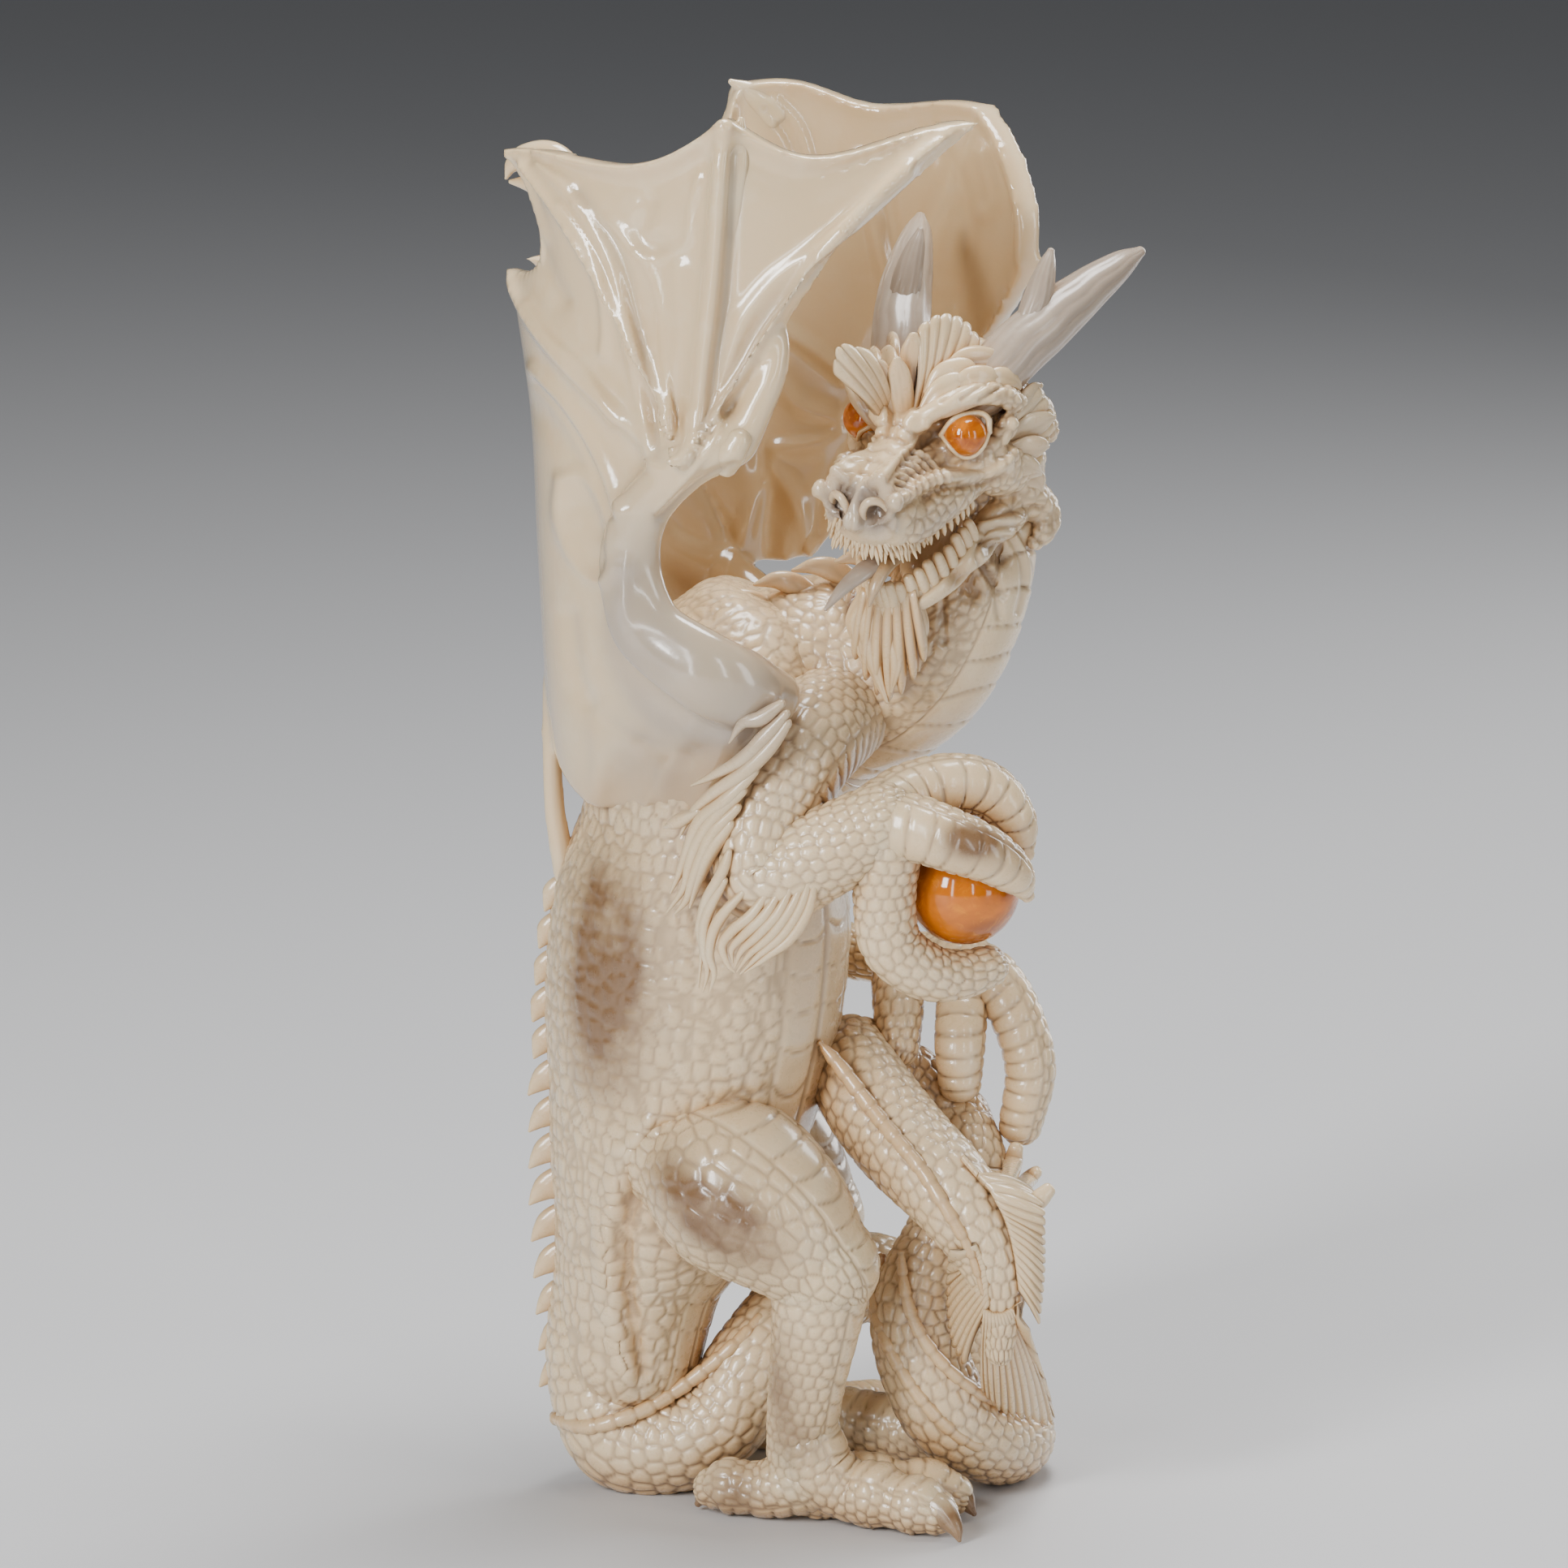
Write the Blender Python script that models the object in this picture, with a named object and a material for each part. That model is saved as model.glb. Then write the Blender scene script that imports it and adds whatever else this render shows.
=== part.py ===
# Carved dragon with folded wings, standing on its feet and tail, with inlaid amber eyes, ball and two set-in horns.
# Metres, +Z up, seen from -Y. The carving is posed in millimetres of its design height and scaled to its real one.
import math

import bmesh
import bpy
import numpy as np
from mathutils import Vector

# Driving sizes, in metres
STATUE_HEIGHT = 0.300
WING_WALL = 0.0038
BALL_RADIUS = 0.0117
EYE_RADIUS = 0.0044
HORN_RADIUS = 0.0056
FIT_GAP = 0.0003
CARVING_GRAIN = 0.0013
FACET_SHARE = 0.030

DESIGN_HEIGHT = 302.5
UNIT = STATUE_HEIGHT / DESIGN_HEIGHT
RING_SIDES = 12

# Round forms: x, y, z and radius along each one's middle (the torso has a radius across x and one across y)
NECK = [(-18, 3, 164, 22), (-5, 3, 169, 24), (8, 1, 174, 23), (20, -5, 177, 18.5), (28, -9, 184, 15.8),
        (34, -9, 196, 14.2), (36, -7, 208, 13.4), (34, -7, 222, 13), (30, -10, 229, 12)]
TORSO = [(-12, 0, 178, 22, 30), (-17, 0, 164, 27, 37), (-18, 0, 144, 28, 39), (-20.5, 0, 126, 31.5, 38),
         (-22.5, 0, 104, 31.5, 37), (-25, 0, 84, 28.5, 34), (-29, 0, 64, 24.5, 30), (-34, 0, 46, 18.5, 24),
         (-36, -2, 30, 15.5, 18)]
TAIL = [(-37.5, 0, 44, 15), (-40.5, -1, 27, 13.5), (-37.5, -5, 12.5, 12.5), (-27, -8, 11, 11.4), (-17, -9, 16, 10.4),
        (-9, -6, 28, 10), (2, 4, 38, 10), (16, 17, 40, 9.6), (31, 25, 27, 8.6), (42, 18, 12, 8.2), (46, 4, 8.6, 8.8),
        (40, -9, 11.5, 9.4), (30, -18, 22, 9.8), (24.5, -17, 41, 9.6), (31, -12, 57, 8.6), (36.5, -5, 68, 8),
        (33, 4, 78, 7.8), (22, 6, 87, 7.8), (11, 1, 93, 8.6), (13, -10, 89, 10), (21, -20, 80, 10.4),
        (33, -32, 69.5, 9.4), (41, -37, 56, 6.8), (42, -37, 38, 2.8)]
NEAR_ARM = [(4, -22, 178, 11.5), (-2, -33, 168, 11.4), (-7.5, -40, 152, 10.6), (-7, -43, 141.5, 10.4),
            (4, -45, 146.5, 9.6), (17, -45.5, 153.5, 8.4)]
FAR_ARM = [(4, 20, 176, 11), (-2, 34, 160, 10.8), (-7, 41, 140, 10), (-6, 42, 122, 9), (2, 38, 111, 7.2),
           (13, 32, 108, 5.8), (26, 22, 109, 5.8), (35, 14, 110, 6.8)]
FAR_FINGERS = [
    [(34, 13, 110, 7), (41, 7, 108, 6), (46, 3, 101, 5.6), (49, 1, 90, 5.4), (47, 0.5, 78, 4.6)],
    [(35, 12, 109, 6.6), (34.5, 4, 103, 5.6), (34, -1, 96, 5.4), (34, -2, 88, 4.6)],
    [(22, 22, 108, 6), (21, 12, 107, 5.6), (21, 4, 102, 5.4), (21, -1, 95, 4.4)],
]
NEAR_THIGH = [(-24, -24, 78, 14), (-14, -32, 73, 18.5), (-4, -36, 66, 16.5), (5, -38, 57, 11.8)]
NEAR_SHIN = [(5, -38, 58, 11), (3.5, -38, 45, 9.4), (1.5, -36, 31, 8), (0.5, -33, 19, 7.4), (1, -31, 9, 7.8)]
NEAR_TOES = [
    [(0, -32, 7.2, 7.8), (11, -35, 7, 7.4), (20, -39, 6.6, 6.8), (26.5, -42, 6, 6.2), (30.5, -44.5, 5, 4.8),
     (33, -48.5, 1.6, 1.8)],
    [(4, -30, 7, 7.2), (16, -28.5, 6.8, 6.8), (27, -28.5, 6, 6), (33, -29, 4.8, 4.6), (37, -31, 1.6, 1.8)],
    [(0, -32, 7, 7.2), (-8, -29, 6.2, 6.4), (-15, -26, 5.8, 6), (-19, -24.5, 5, 4.2), (-21.5, -24, 1.8, 1.6)],
]
FAR_THIGH = [(-22, 22, 78, 14), (-14, 27, 71, 17), (-5, 30, 62, 15), (3, 31, 50, 11)]
FAR_SHIN = [(3, 31, 52, 10.4), (1, 31, 40, 9), (0, 29, 27, 8), (1, 26, 16, 7.6), (3, 24, 9, 7.8)]
FAR_TOES = [
    [(2, 23, 7.4, 7.8), (12, 20, 7, 7.4), (22, 16, 6.6, 7), (30, 12, 5.6, 5.8), (35, 10, 1.8, 1.8)],
    [(2, 24, 7.2, 7.2), (11, 30, 6.4, 6.8), (19, 36, 5.6, 5.8), (24, 41, 1.8, 1.8)],
    [(2, 24, 7, 7.2), (-7, 25, 6.2, 6.4), (-14, 27, 5.2, 5.2), (-18.5, 28.5, 1.8, 1.6)],
]

# The near hand's fingers, posed round a ball of HELD_RADIUS; they open and close with the real ball's radius
HELD_RADIUS = 11.7
BALL_CENTRE = (34, -36, 137.5)
NEAR_FINGERS = [
    [(16, -44, 153.5, 7.8), (23, -38, 157.5, 7), (32, -36, 159.8, 6.2), (39.5, -34.5, 157.5, 5.8),
     (45, -34, 151, 4.4), (47, -34, 144.5, 1.8)],
    [(17, -45, 153, 8), (25, -48.5, 152.5, 7), (33, -50.5, 150, 6.4), (39.5, -49.5, 147, 5.6), (44.5, -47, 142.5, 4.2),
     (47, -44.5, 138, 1.6)],
    [(18, -45.5, 150, 7.8), (17.5, -45, 138, 6.6), (19, -44.5, 127.5, 6.4), (26, -42.5, 121.3, 6),
     (33, -39.5, 119.8, 5.2), (39, -36.5, 120.8, 4.4)],
]

# Wings, unrolled on the tusk's round. Each line: angle (0 is the front, -90 the left), height and radius of its
# root, the same for its rim, how far it bows up, how deep the rim is scalloped beyond it, and its rib's radius
NEAR_WING = [
    (-24, 229, 52, 43, 299, 50, 15, 0.15, 3.2),
    (-24, 230, 52, -16, 301.5, 53, 0, 0.16, 3.0),
    (-25, 231, 52, -78, 289, 60, 13, 0.3, 2.8),
    (-27, 229, 52, -91, 262, 59.3, 3, 0.07, 2.6),
    (-36, 219, 53, -94, 232, 53.5, 3, 0, 1.8),
    (-40, 207, 53, -94, 200, 52.5, 3, 0, 0),
    (-38, 195, 52, -94, 170, 51, 0, 0, 0),
    (-28, 187, 51, -66, 140, 48.5, 0, 0.06, 0),
    (-16, 184, 50, -44, 150, 44, 0, 0.04, 0),
    (-6, 182, 46, -28, 158, 42, 0, 0, 0),
]
FAR_WING = [
    (5, 193, 49, 74, 266, 50, 2, 0.01, 2.0),
    (0, 191, 50, 47, 289.5, 50, 4, 0.02, 2.6),
    (-8, 190, 51, -15, 292, 52, 0, 0.24, 3.0),
    (-14, 190, 51, -82, 267, 57, 13, 0.3, 2.8),
    (-20, 189, 51, -92, 250, 56, 3, 0.04, 2.6),
    (-24, 188, 51, -94, 229, 53, 3, 0, 1.8),
    (-28, 188, 51, -94, 200, 52, 3, 0, 0),
    *NEAR_WING[6:],
]
WING_ARM = [(2, -30, 176, 9), (-8, -43, 182, 8.4), (-20, -48, 187, 7.2), (-31, -44.5, 195, 6.8),
            (-35, -42.5, 207, 6.6), (-32, -45, 219, 6), (-23, -50, 229, 6), (-14, -52, 234, 6)]
WING_THUMB = [(-12.5, -51.5, 234, 4.2), (-9, -51.5, 241, 3.6), (-5.5, -51, 249, 3.2), (-4.5, -50.5, 256, 2.4),
              (-6.5, -50, 262, 1)]

# Head frame: its middle between the eyes, and the directions of its snout, its left side and its crown
HEAD_CENTRE = (24, -27, 232.5)
SNOUT_WAY = Vector((-0.47, -0.77, -0.43)).normalized()
LEFT_WAY = Vector((0.85, -0.485, -0.06)).normalized()
CROWN_WAY = SNOUT_WAY.cross(LEFT_WAY).normalized()

# Head forms as snout, left, crown and radius: those on its middle, then those that both sides have
HEAD_MIDDLE = [
    [(-22, 0, -5, 12), (-10, 0, -4, 13), (2, 0, -6, 12), (12, 0, -7.5, 10.6), (21, 0, -8, 10), (27, 0, -8.5, 9)],
    [(-14, 0, -26, 9), (2, 0, -28, 5.5), (12, 0, -29.5, 4.4), (20, 0, -29.5, 4)],
    [(4, -6, 5, 3), (3, -10, 10, 3.6), (2.5, -13, 14, 1.8)],
    [(3, 0, 5, 2.6), (-4, 1, 12, 3), (-12, 2, 16, 2.4)],
    [(-4, 5, 9, 3), (-12, 6, 15, 4), (-18, 6, 15, 2)],
    [(8, 0, -21, 3.6), (20, -1, -21.5, 3.4), (29, -4, -24, 2.6), (34, -8, -29, 1.2)],
    [(17, 0, -31, 4.4), (21, -0.5, -40, 3.8), (26, -1, -50, 1.4)],
    [(14, -4, -31, 3.8), (19, -7, -39, 3), (22, -8, -44, 1.4)],
    [(11, 5, -31, 3.8), (13, 6, -40, 3.2), (15, 6, -46, 1.4)],
]
HEAD_SIDES = [
    [(7, 3.5, 4, 2.4), (3, 8.5, 7, 3.2), (-4, 14, 8.4, 3.6), (-12, 16.5, 7, 3.2)],
    [(2, 9.5, -8, 6), (-8, 11.5, -11, 7.5), (-17, 9, -17, 8.5), (-20, 6, -26, 8)],
    [(25, 7.5, -9, 2.6), (15, 10.5, -7.8, 2.4), (4, 13.5, -9.6, 2.6), (-8, 15, -9, 2.4)],
    [(-8, 9, -13, 7.5), (5, 8.5, -13.5, 7), (17, 6, -11.5, 6), (27, 3.6, -11.5, 4.6)],
    [(-16, 10, -25, 7), (-3, 11, -28, 4.4), (9, 7.4, -29.6, 3.8), (18, 2.6, -30, 3.6)],
    [(26, 5, -2.5, 3.4), (29.5, 4.6, -5, 3)],
    [(-17, 12, -4, 5.6), (-21, 17, -7, 4.2), (-24, 19, -10, 1.8)],
    [(-15, 12, -24, 5.6), (-18, 14.5, -31, 4.4), (-17, 13.5, -36, 2.4)],
]
HORN = [(-12, 10, 3.4, 1), (-20, 13, 7, 1.1), (-30, 17, 9.5, 1.05), (-40, 20.5, 11, 0.86), (-50, 24, 11.8, 0.56),
        (-56.5, 26.5, 12, 0.15)]
HORN_PRONG = [(-25, 15, 10, 0.6), (-31, 15.5, 15.5, 0.56), (-36, 15.5, 19.5, 0.36), (-39, 15.5, 22, 0.1)]
EYE_PLACE = (0.2, 12, 1)

IVORY = (0.80, 0.70, 0.56, 1.0)
HORN_GREY = (0.62, 0.57, 0.52, 1.0)
AMBER = (0.78, 0.30, 0.02, 1.0)


def head_point(snout, left, crown):
    """A point of the head's own frame in the figure's frame."""
    return Vector(HEAD_CENTRE) + SNOUT_WAY * snout + LEFT_WAY * left + CROWN_WAY * crown


def head_rows(rows, side=1):
    """Head form rows in the figure's frame, mirrored over the head's middle for side -1."""
    return [(*head_point(snout, left * side, crown), radius) for snout, left, crown, radius in rows]


def wing_point(angle, height, radius):
    """A point of the unrolled wing in the figure's frame; the angle is in degrees, 0 at the front."""
    turn = math.radians(angle)
    return (radius * math.sin(turn), -radius * math.cos(turn), height)


def through(rows, steps=5):
    """A smooth curve through the rows: cubic pieces whose slope is half the step between the two neighbours."""
    rows = np.asarray(rows, float)
    padded = np.vstack([2 * rows[0] - rows[1], rows, 2 * rows[-1] - rows[-2]])
    share = np.arange(steps)[:, None] / steps
    pieces = [0.5 * (2 * b + (c - a) * share + (2 * a - 5 * b + 4 * c - d) * share**2
                     + (3 * b - a - 3 * c + d) * share**3)
              for a, b, c, d in zip(padded, padded[1:], padded[2:], padded[3:])]
    return np.vstack([*pieces, rows[-1:]])


def add_ball(mesh, centre, radius):
    made = bmesh.ops.create_icosphere(mesh, subdivisions=2, radius=radius * UNIT)
    bmesh.ops.translate(mesh, verts=made["verts"], vec=Vector(centre) * UNIT)


def add_rings(mesh, rings):
    """A closed skin over a row of rings of points, with a flat cap at both ends."""
    made = [[mesh.verts.new(Vector(point) * UNIT) for point in ring] for ring in rings]
    count = len(made[0])
    for ring, following in zip(made, made[1:]):
        for i in range(count):
            j = (i + 1) % count
            mesh.faces.new((ring[i], ring[j], following[j], following[i]))
    mesh.faces.new(made[0][::-1])
    mesh.faces.new(made[-1])


def add_limb(mesh, rows, steps=5, rounded=True):
    """A round form along smooth rows of x, y, z and one or two radii, the second one lying along y."""
    path = through(rows, steps)
    middle, width, depth = path[:, :3], path[:, 3], path[:, -1]
    tangents = np.gradient(middle, axis=0)
    tangents /= np.linalg.norm(tangents, axis=1)[:, None]
    turns = np.linspace(0, 2 * np.pi, RING_SIDES, endpoint=False)
    up = np.array((0.0, 1.0, 0.0)) if abs(tangents[0][1]) < 0.9 else np.array((0.0, 0.0, 1.0))
    rings = []
    for centre, way, wide, deep in zip(middle, tangents, width, depth):
        up = up - way * up.dot(way)
        up /= np.linalg.norm(up)
        side = np.cross(up, way)
        rings.append([centre + side * wide * math.cos(t) + up * deep * math.sin(t) for t in turns])
    add_rings(mesh, rings)
    if rounded:
        add_ball(mesh, middle[0], min(width[0], depth[0]))
        add_ball(mesh, middle[-1], min(width[-1], depth[-1]))


def add_blade(mesh, base, way, length, width, thickness, lean):
    """A flat pointed blade: a diamond foot, longer along the lean, that runs out to a point."""
    base, way, lean = Vector(base), Vector(way).normalized(), Vector(lean).normalized()
    across = way.cross(lean).normalized()
    foot = base - way * 2.5
    ring = [foot + lean * width, foot + across * thickness, foot - lean * width, foot - across * thickness]
    tip = base + way * length + lean * width * 0.7
    made = [mesh.verts.new(point * UNIT) for point in [*ring, tip]]
    for i in range(4):
        mesh.faces.new((made[i], made[(i + 1) % 4], made[4]))
    mesh.faces.new(made[3::-1])


def round_ball(rows):
    """Finger rows moved out from the ball's middle, or in, as its radius asks; the first row stays at the wrist."""
    centre = Vector(BALL_CENTRE)
    change = BALL_RADIUS / UNIT - HELD_RADIUS
    moved = [rows[0]]
    for x, y, z, radius in rows[1:]:
        point = Vector((x, y, z))
        moved.append((*(point + (point - centre).normalized() * change), radius))
    return moved


def add_wing(mesh, lines, side):
    """One wing as a thin wall on the tusk's round, with ribs and a scalloped rim; side -1 is the far one."""
    fan = through([line[:7] for line in lines], 6)
    wall = WING_WALL / UNIT / 2
    outer, inner = [], []
    for number, (angle0, height0, radius0, angle1, height1, radius1, bow) in enumerate(fan):
        segment, share = divmod(number / 6, 1)
        hollow = 4 * share * (1 - share)
        depth = lines[int(segment)][7]
        rows = np.linspace(0, 1 - depth * hollow, 22)
        ends = (rows * (angle1 - angle0) + angle0, rows * (height1 - height0) + height0 + bow * 4 * rows * (1 - rows),
                rows * (radius1 - radius0) + radius0 - 2.4 * hollow * rows * (depth > 0))
        for skin, offset in ((outer, wall), (inner, -wall)):
            points = [wing_point(a, h, r + offset) for a, h, r in zip(*ends)]
            skin.append([mesh.verts.new(Vector((x, y * side, z)) * UNIT) for x, y, z in points])
    for skin in (outer, inner):
        for row, following in zip(skin, skin[1:]):
            for i in range(len(row) - 1):
                mesh.faces.new((row[i], row[i + 1], following[i + 1], following[i]))
    last, end = len(outer) - 1, len(outer[0]) - 1
    border = [(j, 0) for j in range(last)] + [(last, i) for i in range(end)]
    border += [(j, end) for j in range(last, 0, -1)] + [(0, i) for i in range(end, 0, -1)]
    for (j, i), (m, n) in zip(border, border[1:] + border[:1]):
        mesh.faces.new((outer[j][i], outer[m][n], inner[m][n], inner[j][i]))
    for angle0, height0, radius0, angle1, height1, radius1, bow, _depth, rib in lines:
        if rib:
            rows = []
            for share in np.linspace(0, 1, 7):
                x, y, z = wing_point(angle0 + (angle1 - angle0) * share,
                                     height0 + (height1 - height0) * share + bow * 4 * share * (1 - share),
                                     radius0 + (radius1 - radius0) * share + 0.6)
                rows.append((x, y * side, z, rib * (1 - 0.35 * share)))
            add_limb(mesh, rows, 3)


def add_back_blades(mesh):
    """The row of blades down the back."""
    levels = np.array(TORSO)[::-1]
    for height in range(124, 22, -9):
        x = np.interp(height, levels[:, 2], levels[:, 0])
        reach = np.interp(height, levels[:, 2], levels[:, 3])
        add_blade(mesh, (x - reach + 1, 0, height), (-1, 0, 0.1), 4.6 if height < 90 else 3, 4.2, 1.8, (0, 0, -1))


def add_side_strand(mesh):
    """The thin strand that the wings' last edge leaves beside a gap at the left of the chest."""
    add_limb(mesh, [(-51.5, 0, 174, 2.8), (-52, -1, 160, 2.4), (-51.5, -1, 146, 2.4), (-49, -1, 132, 3)], 3)


def add_tail_fin(mesh):
    """The fan of rays at the tail's tip and the fringe of rays along its last bend."""
    for spread in range(-3, 4):
        lean = math.radians(spread * 9 + 3)
        start = Vector((41 + spread * 1.3, -37, 42))
        way = Vector((math.sin(lean), -0.1, -math.cos(lean)))
        add_limb(mesh, [(*start, 2.8), (*(start + way * 12), 2.4), (*(start + way * (25 - abs(spread))), 1.2)], 3)
    for share in np.linspace(0, 1, 7):
        start = Vector((42 + 3 * math.sin(math.pi * share), -35.5, 76 - 36 * share))
        way = Vector((1, -0.1, 0.5 - 0.75 * share))
        add_blade(mesh, start, way, 11.5, 5.2, 2, (0.3, 0, 1))


def make_object(name, mesh):
    data = bpy.data.meshes.new(name)
    bmesh.ops.recalc_face_normals(mesh, faces=mesh.faces)
    mesh.to_mesh(data)
    mesh.free()
    item = bpy.data.objects.new(name, data)
    bpy.context.scene.collection.objects.link(item)
    return item


def make_piece(name, mesh, colour, roughness, coat):
    piece = make_object(name, mesh)
    piece.data.shade_smooth()
    material = bpy.data.materials.new(name + "_finish")
    material.use_nodes = True
    shader = material.node_tree.nodes["Principled BSDF"]
    shader.inputs["Base Color"].default_value = colour
    shader.inputs["Roughness"].default_value = roughness
    shader.inputs["Coat Weight"].default_value = coat
    piece.data.materials.append(material)
    return piece


def combine(target, operation, name, mesh):
    """Joins a closed form to the target or cuts it away, through a Boolean modifier."""
    form = make_object(name, mesh)
    form.hide_render = True
    form.display_type = "WIRE"
    step = target.modifiers.new(name, "BOOLEAN")
    step.operation = operation
    step.object = form


def make_carving():
    mesh = bmesh.new()
    for rows in (TORSO, NECK, TAIL, NEAR_ARM, FAR_ARM, NEAR_THIGH, NEAR_SHIN, FAR_THIGH, FAR_SHIN, WING_ARM,
                 [(x, -y, z, radius) for x, y, z, radius in WING_ARM], WING_THUMB,
                 *map(round_ball, NEAR_FINGERS), *FAR_FINGERS, *NEAR_TOES, *FAR_TOES):
        add_limb(mesh, rows)
    add_wing(mesh, NEAR_WING, 1)
    add_wing(mesh, FAR_WING, -1)
    for rows in HEAD_MIDDLE:
        add_limb(mesh, head_rows(rows), 4)
    for rows in HEAD_SIDES:
        for side in (1, -1):
            add_limb(mesh, head_rows(rows, side), 4)
    add_back_blades(mesh)
    add_side_strand(mesh)
    add_tail_fin(mesh)
    carving = make_piece("dragon", mesh, IVORY, 0.28, 0.4)
    skin = carving.modifiers.new("Even skin", "REMESH")
    skin.mode = "VOXEL"
    skin.voxel_size = CARVING_GRAIN
    facets = carving.modifiers.new("Facets", "DECIMATE")
    facets.ratio = FACET_SHARE
    facets.use_collapse_triangulate = True
    return carving


def horn_mesh(rows, side, gap):
    """A tapered horn, or the socket for one: the same form grown by the gap on every side."""
    grown = gap / UNIT
    rows = [(x, y, z, share * HORN_RADIUS / UNIT + grown) for x, y, z, share in head_rows(rows, side)]
    if gap:
        first, second = Vector(rows[0][:3]), Vector(rows[1][:3])
        rows[0] = (*(first + (first - second).normalized() * grown), rows[0][3])
    mesh = bmesh.new()
    add_limb(mesh, rows, 3, rounded=False)
    return mesh


def sphere_mesh(centre, radius, rings):
    mesh = bmesh.new()
    bmesh.ops.create_uvsphere(mesh, u_segments=rings * 2, v_segments=rings, radius=radius)
    bmesh.ops.translate(mesh, verts=mesh.verts, vec=Vector(centre) * UNIT)
    return mesh


def rest_on_origin(pieces):
    """Moves everything so that the carving stands on z = 0 with its box centred on x and y."""
    graph = bpy.context.evaluated_depsgraph_get()
    corners = []
    for piece in pieces:
        final = piece.evaluated_get(graph).to_mesh()
        points = np.empty(len(final.vertices) * 3)
        final.vertices.foreach_get("co", points)
        points = points.reshape(-1, 3)
        corners += [points.min(axis=0), points.max(axis=0)]
    low, high = np.min(corners, axis=0), np.max(corners, axis=0)
    shift = (-(low[0] + high[0]) / 2, -(low[1] + high[1]) / 2, -low[2])
    for item in bpy.data.objects:
        item.location = shift


def build():
    for item in list(bpy.data.objects):
        bpy.data.objects.remove(item, do_unlink=True)
    carving = make_carving()
    pieces = [carving]

    floor = bmesh.new()
    bmesh.ops.create_cube(floor, size=0.5)
    bmesh.ops.translate(floor, verts=floor.verts, vec=(0, 0, -0.25))
    combine(carving, "DIFFERENCE", "sole_cut", floor)

    pieces.append(make_piece("ball", sphere_mesh(BALL_CENTRE, BALL_RADIUS, 14), AMBER, 0.08, 0.6))
    combine(carving, "DIFFERENCE", "ball_seat", sphere_mesh(BALL_CENTRE, BALL_RADIUS + FIT_GAP, 14))

    snout, left, crown = EYE_PLACE
    for end, side in (("left", 1), ("right", -1)):
        centre = head_point(snout, left * side, crown)
        pieces.append(make_piece("eye_" + end, sphere_mesh(centre, EYE_RADIUS, 8), AMBER, 0.08, 0.6))
        combine(carving, "DIFFERENCE", end + "_eye_socket", sphere_mesh(centre, EYE_RADIUS + FIT_GAP, 8))

        horn = make_piece("horn_" + end, horn_mesh(HORN, side, 0), HORN_GREY, 0.3, 0.3)
        combine(horn, "UNION", end + "_prong", horn_mesh(HORN_PRONG, side, 0))
        combine(carving, "DIFFERENCE", end + "_horn_socket", horn_mesh(HORN, side, FIT_GAP))
        pieces.append(horn)
    rest_on_origin(pieces)


build()
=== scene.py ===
import math

import bpy
import numpy as np
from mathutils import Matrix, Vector


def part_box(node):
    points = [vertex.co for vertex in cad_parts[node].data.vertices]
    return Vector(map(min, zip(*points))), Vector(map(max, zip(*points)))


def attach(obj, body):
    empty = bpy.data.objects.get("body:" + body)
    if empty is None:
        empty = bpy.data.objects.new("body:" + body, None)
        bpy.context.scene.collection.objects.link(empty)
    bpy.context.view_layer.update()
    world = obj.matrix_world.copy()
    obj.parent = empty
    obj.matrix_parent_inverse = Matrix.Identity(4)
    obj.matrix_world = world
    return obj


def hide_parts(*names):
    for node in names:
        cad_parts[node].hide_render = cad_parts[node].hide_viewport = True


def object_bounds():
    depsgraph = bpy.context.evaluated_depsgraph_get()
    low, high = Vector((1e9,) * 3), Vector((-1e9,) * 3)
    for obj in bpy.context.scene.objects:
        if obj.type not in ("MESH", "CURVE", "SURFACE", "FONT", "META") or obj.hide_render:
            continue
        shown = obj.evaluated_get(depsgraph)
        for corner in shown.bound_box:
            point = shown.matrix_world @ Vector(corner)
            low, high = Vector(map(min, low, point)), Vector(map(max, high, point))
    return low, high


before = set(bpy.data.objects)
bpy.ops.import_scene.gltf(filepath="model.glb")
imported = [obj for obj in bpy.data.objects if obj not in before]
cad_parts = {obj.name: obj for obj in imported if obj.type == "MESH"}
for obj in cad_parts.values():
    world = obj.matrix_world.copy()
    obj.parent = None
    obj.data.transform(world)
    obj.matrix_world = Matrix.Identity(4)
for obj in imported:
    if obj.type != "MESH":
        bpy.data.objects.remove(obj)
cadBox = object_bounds()

# The figure is posed in millimetres of its design height: x to the right, y away, z up
figure = {"designHeight": 302.5, "height": 0.300, "ballCentre": (34, -36, 137.5)}
unit = figure["height"] / figure["designHeight"]
ballLow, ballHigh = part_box("ball")
origin = (np.array(ballLow) + np.array(ballHigh)) / 2 - np.array(figure["ballCentre"]) * unit


# Shapes: every one is (points, faces, masks), with its points in the figure's millimetres


def through(rows, steps=24):
    # Smooth curve through the rows: cubic pieces whose slope is half the step between the two neighbours
    rows = np.asarray(rows, float)
    padded = np.vstack([2 * rows[0] - rows[1], rows, 2 * rows[-1] - rows[-2]])
    a, b, c, d = padded[:-3, None], padded[1:-2, None], padded[2:-1, None], padded[3:, None]
    t = (np.arange(steps) / steps)[None, :, None]
    pieces = 0.5 * (2 * b + (c - a) * t + (2 * a - 5 * b + 4 * c - d) * t**2 + (3 * b - a - 3 * c + d) * t**3)
    return np.vstack([pieces.reshape(-1, rows.shape[1]), rows[-1:]])


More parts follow.
